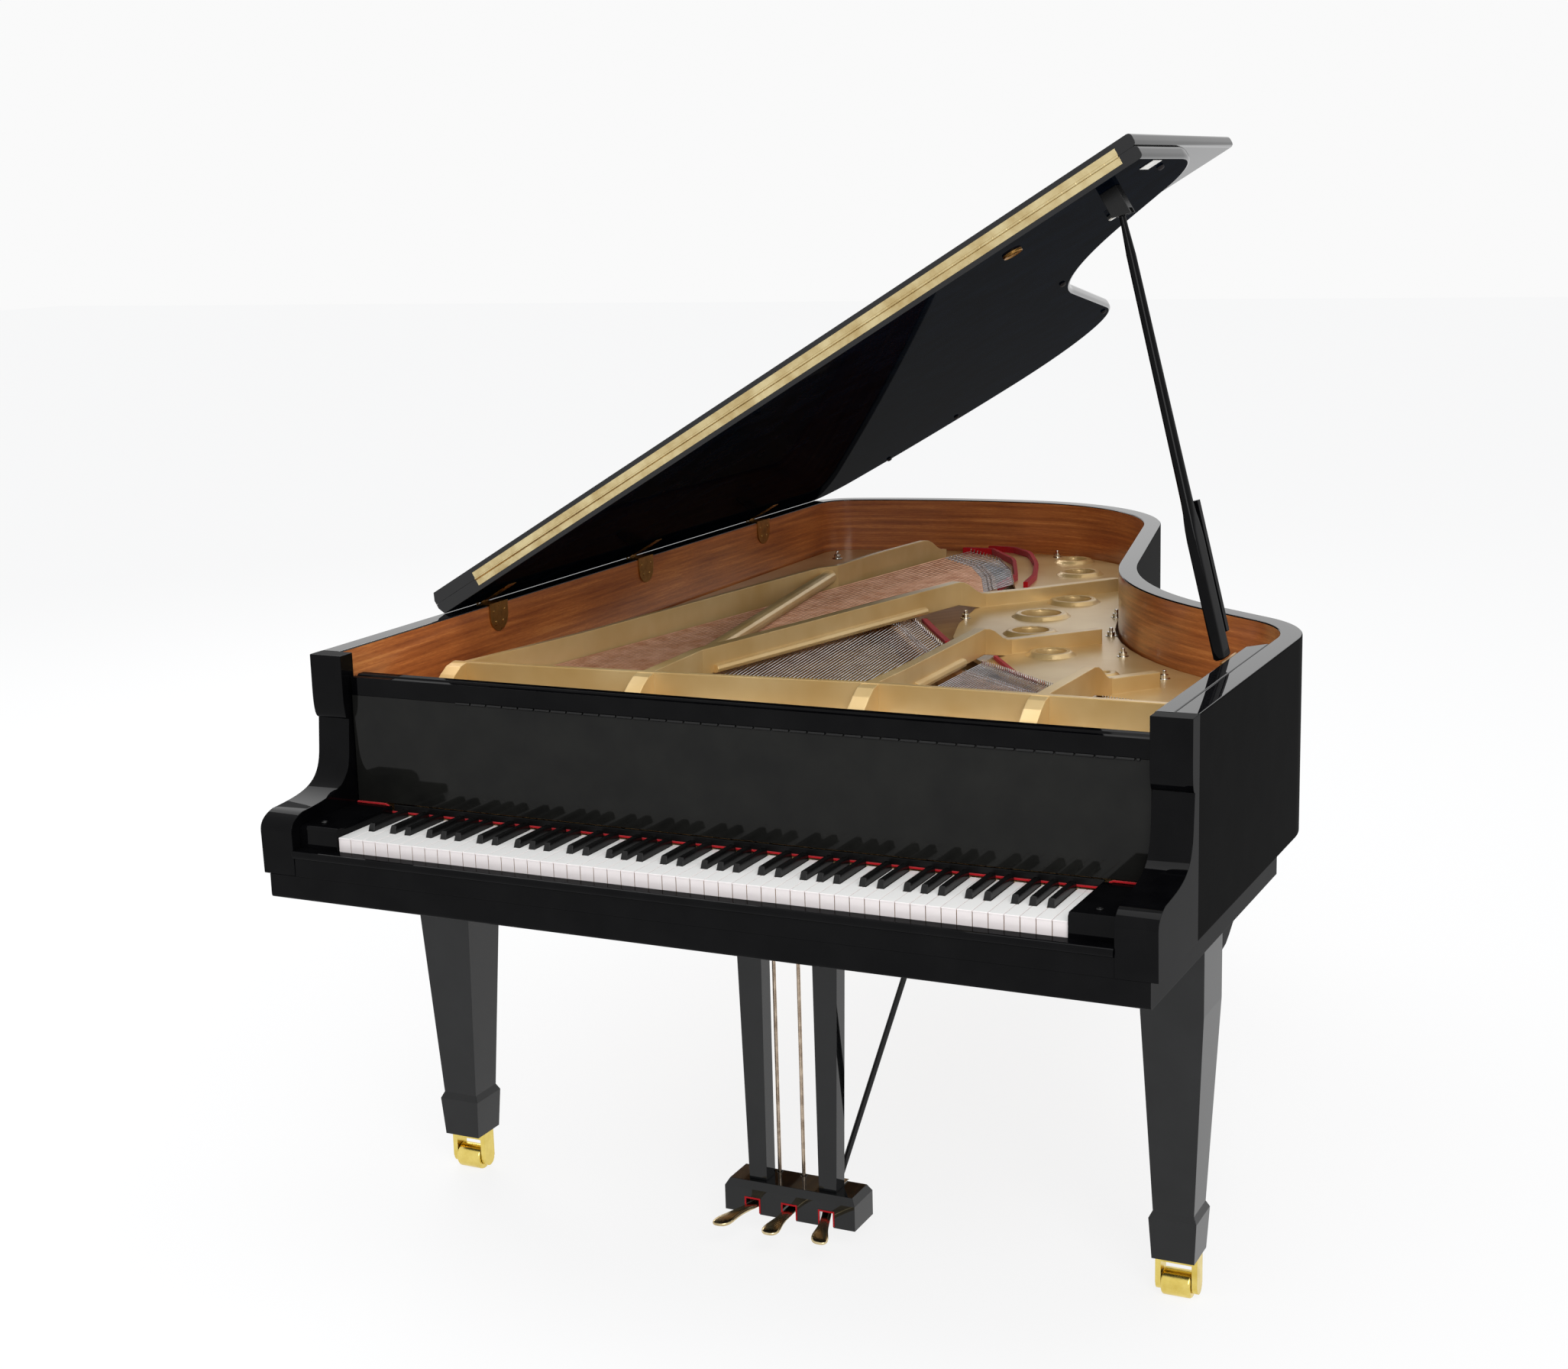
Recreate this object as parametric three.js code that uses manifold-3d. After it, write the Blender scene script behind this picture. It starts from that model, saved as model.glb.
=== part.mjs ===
// A grand piano with its lid up on the long prop and the front flap folded back.
// Sizes are in millimetres. X runs from bass to treble, Y from the key fronts to the tail, Z up.
import * as THREE from 'three';
import { mergeVertices } from 'three/addons/utils/BufferGeometryUtils.js';
import Module from 'manifold-3d';

const wasm = await Module();
wasm.setup();

// Clearances shared by all pieces
const seatGap = 0.3;
const cutOverrun = 4;
const weldTolerance = 0.001;
const outlineTolerance = 1;
const roundSides = 16;
const curveSteps = 6;

// Keys
const naturalCount = 52;
const noteCount = 88;
const keyboardWidth = 1226;
const keyTop = 730;
const keyHeight = 25;
const keyGap = 1;
const headLength = 50;
const sharpWidth = 11;
const sharpTopWidth = 9.4;
const sharpRise = 12;
const sharpSlope = 5;
const sharpFrontGap = 2;
const keyReach = 149;
const keyLength = 400;
const keyDip = 10;
const balanceY = 225;

// Case
const caseHalfWidth = 748;
const rimTop = 996;
const rimWall = 36;
const armWall = 62;
const keybedBottom = 624;
const keybedThickness = 40;
const keybedHalfWidth = 737;
const keybedFront = -22;
const keybedBack = 665;
const keybedRound = 7;
const keybedTop = keybedBottom + keybedThickness;
const rimBottom = keybedTop + seatGap;
const armHalfInner = caseHalfWidth - armWall;

// Plan of the rim, followed from the treble front to the bass front
const rimStraight = 741;
const shoulderRadius = 213;
const shoulderTurn = THREE.MathUtils.degToRad(55);
const waistLead = 122;
const waistRadius = 703;
const waistTurn = THREE.MathUtils.degToRad(43);
const tailLead = 497;
const tailBendRadius = 412;
const tailBendTurn = THREE.MathUtils.degToRad(75.6);
const tailRadius = 1385;
const cornerRadius = 112;

// Arms beside the keyboard
const armTopFront = 134;
const armBandBottom = 937;
const armCoveBack = 146;
const armCoveBottom = 888;
const armWaistBottom = 836;
const armWaistFront = 141;
const armShelfTop = 765;
const armShelfFront = 9;
const armNoseFront = -25;
const armNoseTop = 757;
const armNoseBottom = 736;
const armFoot = -23;
const bassBlockBack = 168;
const trebleBlockBack = 654;
const trebleBlockInner = 684;
const trebleBlockTaper = 36;
const armSweepShares = [[0.04, 0.18], [0.31, 0.07]];

// Inner case
const innerRimWall = 50;
const innerRimTop = 837;
const innerRimFront = 200;
const soundboardThickness = 9;
const braceDepth = 96;
const braceWidth = 60;
const bellyRailFront = 436;
const bellyRailDepth = 56;
const braceShares = [[-0.72, 0.88], [-0.38, 0.97], [-0.08, 0.95], [0.3, 0.62]];
const braceFootShares = [-0.62, -0.26, 0.1, 0.46];
const pinBlockFront = 244;
const pinBlockDepth = 92;

// Iron plate
const plateInset = 42;
const plateThickness = 8;
const plateTop = 876;
const plateFront = 240;
const plateSkirt = 12;
const ribTop = 936;
const ribWidth = 20;
const ribClearance = 4;
const lowRibTop = 903;
const flangeWidth = 10;
const crossBarThickness = 12;
const buttressWidth = 30;
const buttressReach = 150;
const buttressCurveShares = [0.35, 0.4];
const bassBarTop = 928;
const beadRadius = 8;
const plateHoleRadius = 41;
const plateHoleWall = 18;
const plateHoleRise = 7;
const plateHoleCrestShare = 0.45;
const crossBarShares = [[-0.8743, 0.1854], [-0.3783, 0.1979], [0.1511, 0.2145], [0.8997, 0.2154]];
const tallRibShares = [
  [[-0.3783, 0.1975], [-0.389, 0.2859], [-0.2126, 0.5597], [-0.1564, 0.6445]],
  [[0.1511, 0.2145], [0.1551, 0.267], [0.1511, 0.4362]],
  [[0.5414, 0.215], [0.5468, 0.3173]],
];
const lowRibShares = [
  [[-0.1136, 0.6741], [0, 0.7181], [0.1578, 0.7895]],
  [[0.1818, 0.4722], [0.3516, 0.539]],
  [[0.5561, 0.3487], [0.6404, 0.3837]],
];
const beadShares = [
  [[-0.3623, 0.298], [-0.1939, 0.5597], [-0.1765, 0.5862]],
  [[0.1711, 0.2832], [0.1698, 0.3815]],
];
const bassFlangeShares = [[-0.8463, 0.1858], [-0.7687, 0.3205], [-0.6257, 0.6822], [-0.5909, 0.6997],
  [-0.5709, 0.7854], [-0.5348, 0.8703]];
const lowFlangeShares = [[-0.5348, 0.8703], [-0.5134, 0.912]];
const bassBarShares = [[-0.4011, 0.2917], [-0.6043, 0.6934]];
const plateHoleShares = [[-0.123, 0.9421, 0.68], [-0.0307, 0.8689, 0.83], [0.1029, 0.7177, 0.9], [0.0896, 0.6409, 1],
  [0.1457, 0.561, 0.88], [0.2874, 0.4775, 0.71], [0.4893, 0.4102, 0.29]];
const openingShares = [[-0.8182, 0.1957], [-0.3783, 0.21], [0.1511, 0.2267], [0.889, 0.2275],
  [0.889, 0.2513], [0.8556, 0.2872], [0.5615, 0.3097], [0.5281, 0.3097], [0.4412, 0.3321],
  [0.3877, 0.3478], [0.2834, 0.3815], [0.2005, 0.4174], [0.1604, 0.4309], [0.127, 0.4443],
  [0.0535, 0.4757], [-0.0267, 0.5251], [-0.0802, 0.5835], [-0.1136, 0.6463], [-0.131, 0.6732],
  [-0.1043, 0.7002], [-0.0989, 0.7316], [-0.127, 0.772], [-0.2005, 0.8303], [-0.3075, 0.9021],
  [-0.4545, 0.9335], [-0.5, 0.9156], [-0.5749, 0.7002], [-0.6083, 0.6822], [-0.7487, 0.3205]];
const strikeWindowShares = [[-0.83, -0.405], [-0.352, 0.128], [0.176, 0.505], [0.565, 0.885]];
const strikeWindowFront = 346;
const strikeWindowBack = 394;

// Strings and bridges
const stringSide = 2.4;
const tenorStringTop = 885;
const bassStringTop = 893;
const bridgeWidth = 30;
const pinRowY = 292;
const hitchLength = 90;
const tenorBridgeShares = [[-0.5348, 0.6732], [-0.3743, 0.6149], [-0.1765, 0.5305], [-0.0882, 0.4847],
  [0.0267, 0.4277], [0.1003, 0.3994], [0.1537, 0.377], [0.2647, 0.3501], [0.3904, 0.316], [0.4612, 0.2985],
  [0.5749, 0.2738], [0.8556, 0.2513]];
const bassBridgeShares = [[-0.4706, 0.8958], [-0.3342, 0.8523], [-0.2286, 0.789], [-0.1417, 0.7181]];
const stringSections = [
  { count: 20, startShares: [-0.281, 0.126], bridgeShares: [0.01, 0.485] },
  { count: 18, startShares: [0.181, 0.5], bridgeShares: [0.6, 0.78] },
  { count: 16, startShares: [0.57, 0.868], bridgeShares: [0.852, 0.99] },
];
const bassStringCount = 22;
const bassStartShares = [-0.84, -0.513];

// Keyboard surroundings
const keySlipFront = -22;
const keySlipBack = -4;
const keySlipTop = 708;
const keySlipLip = 7;
const keyBlockTop = 744;
const keyBlockBack = 150;
const keyBlockRound = 5;
const frontRailHeight = 26;
const frontRailY = 14;
const frontRailDepth = 42;
const balanceRailDepth = 40;
const balanceRidge = 4;
const backRailY = 372;
const backRailDepth = 26;
const actionFront = 262;
const actionDepth = 120;
const actionBottom = 746;
const actionTop = 828;
const actionBracketWidth = 22;
const actionRailSize = 24;

// Fallboard and front rail
const fallHalfWidth = 683;
const fallFront = 155;
const fallThickness = 16;
const fallBottom = 748;
const fallTop = 927;
const fallPivotY = 161;
const fallPivotZ = 758;
const fallPinRadius = 4;
const lipThickness = 12;
const lipHeight = 30;
const stretcherFront = 172.5;
const stretcherDepth = 64;
const stretcherBottom = 900;
const stretcherTop = 958;
const stretcherStep = 10;
const stretcherTread = 14;

// Lid
const lidAngle = THREE.MathUtils.degToRad(30.4);
const lidPivotX = -741;
const lidPivotZ = 1004;
const lidClearance = 2;
const lidThickness = 21;
const lidOverhang = 9;
const lidBassOverhang = 4;
const lidEdge = 5;
const lidBassSetout = 4.5;
const foldY = 522;
const foldGap = 0.3;
const flapFront = -30;
const lidBottom = rimTop + lidClearance;
const lidTop = lidBottom + lidThickness;
const lidHingeYs = [651, 1208, 1754];
const hingeLeafWidth = 60;
const hingeLeafHeight = 52;
const hingeLeafThickness = 2.4;
const hingeStrapThickness = 1.2;
const hingeKnuckleRadius = 4;
const hingeKnuckleLength = 22;
const hingeStrapSetback = 8;

// Lid prop
const propX = 680;
const propY = 566;
const propZ = 993;
const propLean = THREE.MathUtils.degToRad(14.7);
const propTilt = THREE.MathUtils.degToRad(3.6);
const propBarrelRadius = 2.4;
const propHingeLength = 84;
const propLeafHeight = 30;
const propBoardLength = 220;
const propBoardWidth = 44;
const propBoardThickness = 18;
const propStickWidth = 20;
const propStickThickness = 12;
const propTipWidth = 14;
const propTipThickness = 9;
const propSplice = 40;
const cupDrop = 36;
const cupLength = 30;
const cupEar = 3;
const cupEarDrop = 9;
const cupSideGap = 1.4;
const shortPropLength = 200;
const shortPropWidth = 14;
const shortPropFoot = 48;
const shortPropSideGap = 3;
const shortCupX = 479;
const shortCupY = 606;
const shortCupRadius = 17;
const shortCupHeight = 4;

// Legs and casters
const legX = 659;
const legY = 394;
const rearLegX = -290;
const rearLegY = 1950;
const legTopHalf = 50;
const legSeam = 523;
const legShoulder = 485;
const legAnkle = 152;
const legAnkleHalf = 33;
const legFlareHeight = 141;
const legFlareHalf = 38.5;
const legFoot = 72;
const legFootHalf = 34.3;
const bracketWidth = 24;
const bracketDrop = 62;
const bracketLength = 181;
const bracketCurveShares = [[0.25, 1], [0.3, 0.25]];
const casterRadius = 22;
const casterWidth = 48;
const casterEdge = 4;
const rollerSides = 24;
const forkWidth = 68;
const forkArm = 9;
const forkPlate = 12;
const forkDepth = 30;
const forkEye = 14;
const axleRadius = 4;
const axleGap = 0.5;

// Pedal lyre
const lyreX = 14;
const lyreFront = 320;
const lyreDepth = 74;
const lyreBoxHalf = 119.5;
const lyreBoxBottom = 45;
const lyreBoxTop = 100;
const lyreLidHeight = 12;
const lyreLidInset = 7;
const lyreHeadHalf = 112;
const lyreHeadHeight = 24;
const lyreHeadDepth = 50;
const postOuterTop = 93;
const postInnerTop = 46;
const postOuterFoot = 80;
const postInnerFoot = 48;
const postDepth = 32;
const postFront = 336;
const pedalSpacing = 68;
const rodSpacing = 45;
const pedalSplay = 24;
const pedalPivotY = 352;
const pedalZ = 60;
const pedalRearY = 388;
const rodY = 380;
const pedalTipY = 236;
const pedalThickness = 9;
const pedalNeckHalf = 7.5;
const pedalToeHalf = 13;
const pedalTravel = THREE.MathUtils.degToRad(8);
const pedalPinRadius = 3;
const slotHalf = 12;
const slotTop = 71;
const channelTop = 82;
const rodRadius = 3.2;
const rodHoleRadius = 5;
const rodEntry = 18;
const braceRadius = 5;
const braceFootX = 66;
const braceSpread = 138;
const braceReach = 118;

// Finishes seen in the photograph
const finishes = {
  polish: { color: 0x0b0b0d, roughness: 0.08, metalness: 0 },
  satin: { color: 0x171717, roughness: 0.45, metalness: 0 },
  veneer: { color: 0x8a4526, roughness: 0.25, metalness: 0 },
  spruce: { color: 0xc79a5e, roughness: 0.5, metalness: 0 },
  maple: { color: 0xb98a55, roughness: 0.55, metalness: 0 },
  gold: { color: 0xc9a870, roughness: 0.4, metalness: 0.6 },
  copper: { color: 0xb87a5c, roughness: 0.35, metalness: 1 },
  steel: { color: 0xc4c4c4, roughness: 0.25, metalness: 1 },
  brass: { color: 0xb08d4c, roughness: 0.3, metalness: 1 },
  ivory: { color: 0xf1ece6, roughness: 0.3, metalness: 0 },
  ebony: { color: 0x141414, roughness: 0.4, metalness: 0 },
};

const piano = new THREE.Group();

// A closed geometry as a solid
function solidOf(geometry) {
  geometry.deleteAttribute('normal');
  geometry.deleteAttribute('uv');
  const welded = mergeVertices(geometry, weldTolerance);
  const vertProperties = new Float32Array(welded.attributes.position.array);
  const triVerts = new Uint32Array(welded.index.array);
  return new wasm.Manifold(new wasm.Mesh({ numProp: 3, vertProperties, triVerts }));
}

function joined(solids) {
  return solids.reduce((whole, solid) => whole.add(solid));
}

// A solid as a named mesh in a group
function addMesh(parent, name, solid, finish) {
  const { vertProperties, triVerts } = solid.getMesh();
  const geometry = new THREE.BufferGeometry();
  geometry.setAttribute('position', new THREE.BufferAttribute(new Float32Array(vertProperties), 3));
  geometry.setIndex(new THREE.BufferAttribute(new Uint32Array(triVerts), 1));
  geometry.computeVertexNormals();
  const mesh = new THREE.Mesh(geometry, new THREE.MeshStandardMaterial(finishes[finish]));
  mesh.name = name;
  parent.add(mesh);
  return mesh;
}

function point(x, y) {
  return new THREE.Vector2(x, y);
}

function block([left, right], [front, back], [bottom, top]) {
  const geometry = new THREE.BoxGeometry(right - left, back - front, top - bottom);
  geometry.translate((left + right) / 2, (front + back) / 2, (bottom + top) / 2);
  return solidOf(geometry);
}

// A plan outline between two heights
function slab(outline, bottom, top) {
  const geometry = new THREE.ExtrudeGeometry(new THREE.Shape(outline), { depth: top - bottom, bevelEnabled: false });
  geometry.translate(0, 0, bottom);
  return solidOf(geometry);
}

// A side profile, as (y, z) points, between two places along X
function barAlongX(profile, left, right) {
  const geometry = new THREE.ExtrudeGeometry(new THREE.Shape(profile), { depth: right - left, bevelEnabled: false });
  geometry.applyMatrix4(new THREE.Matrix4().set(0, 0, 1, left, 1, 0, 0, 0, 0, 1, 0, 0, 0, 0, 0, 1));
  return solidOf(geometry);
}

// A front profile, as (x, z) points, between two places along Y
function barAlongY(profile, front, back) {
  const geometry = new THREE.ExtrudeGeometry(new THREE.Shape(profile), { depth: back - front, bevelEnabled: false });
  geometry.applyMatrix4(new THREE.Matrix4().set(1, 0, 0, 0, 0, 0, -1, back, 0, 1, 0, 0, 0, 0, 0, 1));
  return solidOf(geometry);
}

function rod(start, end, radius, sides = roundSides) {
  const direction = end.clone().sub(start);
  const geometry = new THREE.CylinderGeometry(radius, radius, direction.length(), sides);
  const turn = new THREE.Quaternion().setFromUnitVectors(new THREE.Vector3(0, 1, 0), direction.clone().normalize());
  geometry.applyQuaternion(turn);
  const middle = start.clone().add(end).multiplyScalar(1 / 2);
  geometry.translate(middle.x, middle.y, middle.z);
  return solidOf(geometry);
}

// A skin over outlines of equal point count, one above the other
function stackGeometry(levels) {
  const count = levels[0].outline.length;
  const positions = [];
  const indices = [];
  for (const { outline, z } of levels) {
    for (const { x, y } of outline) {
      positions.push(x, y, z);
    }
  }
  for (let level = 0; level + 1 < levels.length; level += 1) {
    for (let i = 0; i < count; i += 1) {
      const next = (i + 1) % count;
      const low = level * count;
      const high = low + count;
      indices.push(low + i, low + next, high + next, low + i, high + next, high + i);
    }
  }
  for (const [a, b, c] of THREE.ShapeUtils.triangulateShape(levels[0].outline, [])) {
    indices.push(c, b, a);
  }
  const last = (levels.length - 1) * count;
  for (const [a, b, c] of THREE.ShapeUtils.triangulateShape(levels[levels.length - 1].outline, [])) {
    indices.push(last + a, last + b, last + c);
  }
  const geometry = new THREE.BufferGeometry();
  geometry.setAttribute('position', new THREE.Float32BufferAttribute(positions, 3));
  geometry.setIndex(indices);
  return geometry;
}

function stack(levels) {
  return solidOf(stackGeometry(levels));
}

function rectangle(left, right, front, back) {
  return [point(left, front), point(right, front), point(right, back), point(left, back)];
}

function squareAt(x, y, half) {
  return rectangle(x - half, x + half, y - half, y + half);
}

// Plan of the rim at an inset, counter-clockwise, starting at its treble front
function rimOutline(inset, frontY) {
  const outline = [point(caseHalfWidth - inset, frontY)];
  let heading = Math.PI / 2;
  let x = caseHalfWidth - inset;
  let y = rimStraight;
  outline.push(point(x, y));
  const bend = (radius, turn) => {
    const side = Math.sign(turn);
    const reach = radius - side * inset;
    const centreX = x - side * reach * Math.sin(heading);
    const centreY = y + side * reach * Math.cos(heading);
    const facetTurn = 2 * Math.acos(1 - outlineTolerance / radius);
    const steps = Math.ceil(Math.abs(turn) / facetTurn);
    const from = heading;
    for (let i = 1; i <= steps; i += 1) {
      heading = from + (turn * i) / steps;
      x = centreX + side * reach * Math.sin(heading);
      y = centreY - side * reach * Math.cos(heading);
      outline.push(point(x, y));
    }
  };
  const run = (length) => {
    x += length * Math.cos(heading);
    y += length * Math.sin(heading);
    outline.push(point(x, y));
  };
  bend(shoulderRadius, shoulderTurn);
  run(waistLead);
  bend(waistRadius, -waistTurn);
  run(tailLead);
  bend(tailBendRadius, tailBendTurn);
  const leftReach = inset - caseHalfWidth - x + (tailRadius - inset) * Math.sin(heading) + cornerRadius - inset;
  const cornerHeading = Math.PI - Math.asin(leftReach / (tailRadius - cornerRadius));
  bend(tailRadius, cornerHeading - heading);
  bend(cornerRadius, (3 * Math.PI) / 2 - heading);
  outline.push(point(-(caseHalfWidth - inset), frontY));
  return outline;
}

const tailY = Math.max(...rimOutline(0, 0).map(({ y }) => y));
const plateBottom = plateTop - plateThickness;
const soundboardTop = innerRimTop + seatGap + soundboardThickness;

// Shares of the case's half width and length as a place in plan
function placed([across, along]) {
  return point(across * caseHalfWidth, along * tailY);
}

// The U of wall between two insets of the rim
function rimBand(outerInset, innerInset, frontY) {
  return [...rimOutline(outerInset, frontY), ...rimOutline(innerInset, frontY).reverse()];
}

// A strip of even width along a path
function ribbon(path, width) {
  const left = [];
  const right = [];
  path.forEach((here, i) => {
    const before = path[Math.max(i - 1, 0)];
    const after = path[Math.min(i + 1, path.length - 1)];
    const incoming = (i > 0 ? here.clone().sub(before) : after.clone().sub(here)).normalize();
    const outgoing = (i + 1 < path.length ? after.clone().sub(here) : here.clone().sub(before)).normalize();
    const along = incoming.clone().add(outgoing).normalize();
    const reach = width / 2 / along.dot(incoming);
    left.push(point(here.x - along.y * reach, here.y + along.x * reach));
    right.push(point(here.x + along.y * reach, here.y - along.x * reach));
  });
  return [...right, ...left.reverse()];
}

// A wall from one place to another in plan, with its side profile as (distance, z) points
function wallAlong(from, to, width, profile) {
  const geometry = new THREE.ExtrudeGeometry(new THREE.Shape(profile), { depth: width, bevelEnabled: false });
  const ahead = to.clone().sub(from).normalize();
  geometry.translate(0, 0, -width / 2);
  geometry.applyMatrix4(new THREE.Matrix4().set(ahead.x, 0, ahead.y, from.x, ahead.y, 0, -ahead.x, from.y,
    0, 1, 0, 0, 0, 0, 0, 1));
  return solidOf(geometry);
}

function circle(x, y, radius, sides = roundSides) {
  return Array.from({ length: sides }, (_, i) => {
    const angle = (2 * Math.PI * i) / sides;
    return point(x + radius * Math.cos(angle), y + radius * Math.sin(angle));
  });
}

// The point at a share of a path's length
function pointAlong(path, share) {
  const lengths = path.slice(1).map((end, i) => end.distanceTo(path[i]));
  let left = share * lengths.reduce((sum, length) => sum + length);
  for (let i = 0; i < lengths.length; i += 1) {
    if (left <= lengths[i] || i + 1 === lengths.length) {
      return path[i].clone().lerp(path[i + 1], left / lengths[i]);
    }
    left -= lengths[i];
  }
  return path[path.length - 1];
}

function mix([from, to], share) {
  return from + (to - from) * share;
}

// Rim and arms
addMesh(piano, 'outer_rim', slab(rimBand(0, rimWall, bassBlockBack + seatGap), rimBottom, rimTop), 'polish');
const innerRimInset = rimWall + seatGap;
const innerRimBand = rimBand(innerRimInset, innerRimInset + innerRimWall, innerRimFront);
addMesh(piano, 'inner_rim', slab(innerRimBand, rimBottom, innerRimTop), 'maple');

function armProfile() {
  const profile = new THREE.Shape();
  profile.moveTo(armFoot, rimBottom);
  profile.lineTo(bassBlockBack, rimBottom);
  profile.lineTo(bassBlockBack, rimTop);
  profile.lineTo(armTopFront, rimTop);
  profile.lineTo(armTopFront, armBandBottom);
  profile.quadraticCurveTo(armTopFront, armCoveBottom, armCoveBack, armCoveBottom);
  profile.lineTo(armWaistFront, armWaistBottom);
  const sweep = armWaistFront - armShelfFront;
  const fall = armWaistBottom - armShelfTop;
  const [[startAcross, startUp], [endAcross, endUp]] = armSweepShares;
  profile.bezierCurveTo(armWaistFront - sweep * startAcross, armShelfTop + fall * startUp,
    armWaistFront - sweep * endAcross, armShelfTop + fall * endUp, armShelfFront, armShelfTop);
  profile.quadraticCurveTo(armNoseFront, armNoseTop, armNoseFront, armNoseBottom);
  return profile.getPoints(curveSteps);
}

addMesh(piano, 'bass_arm', barAlongX(armProfile(), -caseHalfWidth, -armHalfInner), 'polish');
const rimInnerFace = caseHalfWidth - rimWall;
const trebleLayer = [
  point(trebleBlockInner, bassBlockBack - cutOverrun),
  point(rimInnerFace - seatGap, bassBlockBack - cutOverrun),
  point(rimInnerFace - seatGap, trebleBlockBack + trebleBlockTaper),
  point(trebleBlockInner, trebleBlockBack),
];
const trebleArm = barAlongX(armProfile(), armHalfInner, caseHalfWidth)
  .add(slab(trebleLayer, plateTop + seatGap, rimTop));
addMesh(piano, 'treble_arm', trebleArm, 'polish');

// Keybed with the curved bracket behind each front leg
const rodXs = [-1, 0, 1].map((side) => lyreX + side * rodSpacing);
const keybedProfile = new THREE.Shape();
keybedProfile.moveTo(keybedFront + keybedRound, keybedBottom);
keybedProfile.lineTo(keybedBack, keybedBottom);
keybedProfile.lineTo(keybedBack, keybedTop);
keybedProfile.lineTo(keybedFront, keybedTop);
keybedProfile.lineTo(keybedFront, keybedBottom + keybedRound);
keybedProfile.quadraticCurveTo(keybedFront, keybedBottom, keybedFront + keybedRound, keybedBottom);
const bracketFront = legY + legTopHalf + seatGap;
const bracketProfile = new THREE.Shape();
bracketProfile.moveTo(bracketFront, keybedBottom + cutOverrun);
bracketProfile.lineTo(bracketFront, keybedBottom - bracketDrop);
const bracketGuides = bracketCurveShares.map(([along, down]) => point(bracketFront + bracketLength * along,
  keybedBottom - bracketDrop * down));
bracketProfile.bezierCurveTo(bracketGuides[0].x, bracketGuides[0].y, bracketGuides[1].x, bracketGuides[1].y,
  bracketFront + bracketLength, keybedBottom);
bracketProfile.lineTo(bracketFront + bracketLength, keybedBottom + cutOverrun);
const bracketOuter = legX + legTopHalf;
const boreTop = keybedBottom + rodEntry + keyDip;
const keybed = rodXs.reduce(
  (solid, x) => solid.subtract(slab(circle(x, rodY, rodHoleRadius), keybedBottom - cutOverrun, boreTop)),
  joined([
    barAlongX(keybedProfile.getPoints(curveSteps), -keybedHalfWidth, keybedHalfWidth),
    barAlongX(bracketProfile.getPoints(curveSteps), bracketOuter - bracketWidth, bracketOuter),
    barAlongX(bracketProfile.getPoints(curveSteps), -bracketOuter, bracketWidth - bracketOuter),
  ]),
);
addMesh(piano, 'keybed', keybed, 'polish');

// Beams under the soundboard, spreading from the belly rail to the rim
const hollow = slab(rimOutline(innerRimInset + innerRimWall + seatGap, bellyRailFront), rimBottom, innerRimTop);
const bellyRailBack = bellyRailFront + bellyRailDepth;
const bellyRail = slab(rectangle(-caseHalfWidth, caseHalfWidth, bellyRailFront, bellyRailBack),
  rimBottom, innerRimTop);
const beams = braceShares.map((end, i) => {
  const foot = point(braceFootShares[i] * caseHalfWidth, bellyRailFront + bellyRailDepth / 2);
  return slab(ribbon([foot, placed(end)], braceWidth), rimBottom, rimBottom + braceDepth);
});
addMesh(piano, 'bottom_braces', joined([bellyRail, ...beams]).intersect(hollow), 'spruce');

// Soundboard on the inner rim and the belly rail
const soundboardOutline = rimOutline(innerRimInset, bellyRailFront);
addMesh(piano, 'soundboard', slab(soundboardOutline, innerRimTop + seatGap, soundboardTop), 'spruce');

const pinBlockOutline = rectangle(-rimInnerFace + seatGap, rimInnerFace - seatGap, pinBlockFront,
  pinBlockFront + pinBlockDepth);
addMesh(piano, 'pin_block', slab(pinBlockOutline, innerRimTop + seatGap, plateBottom - seatGap), 'maple');

// Iron plate: a web with a large opening, a cross bar with string slots, ribs that step down, and ringed holes
const crossBarPath = crossBarShares.map(placed);
function crossBarY(x) {
  const next = crossBarPath.findIndex((end, i) => i > 0 && (end.x >= x || i + 1 === crossBarPath.length));
  const [from, to] = [crossBarPath[next - 1], crossBarPath[next]];
  return mix([from.y, to.y], (x - from.x) / (to.x - from.x));
}
const webUnder = plateTop - plateThickness / 2;
const ribBottom = tenorStringTop + ribClearance;
const plateOutline = rimOutline(plateInset, plateFront);
const strikeWindows = strikeWindowShares.map(([left, right]) => rectangle(left * caseHalfWidth,
  right * caseHalfWidth, strikeWindowFront, strikeWindowBack));
const stringSlots = strikeWindowShares.map(([left, right], i) => {
  const ends = [left, right].map((share) => point(share * caseHalfWidth, crossBarY(share * caseHalfWidth)));
  return slab(ribbon(ends, crossBarThickness + cutOverrun), plateTop + seatGap,
    (i > 0 ? tenorStringTop : bassStringTop) + ribClearance);
});
const crossBar = stringSlots.reduce((bar, slot) => bar.subtract(slot),
  slab(ribbon(crossBarPath, crossBarThickness), webUnder, ribTop));
function buttress(x) {
  const wallY = crossBarY(x);
  const [topShare, footShare] = buttressCurveShares;
  const profile = new THREE.Shape();
  profile.moveTo(wallY, webUnder);
  profile.lineTo(wallY, ribTop);
  profile.bezierCurveTo(wallY - buttressReach * topShare, ribTop, wallY - buttressReach * footShare,
    plateTop, wallY - buttressReach, plateTop);
  profile.lineTo(wallY - buttressReach, webUnder);
  return barAlongX(profile.getPoints(curveSteps), x - buttressWidth / 2, x + buttressWidth / 2);
}

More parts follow.
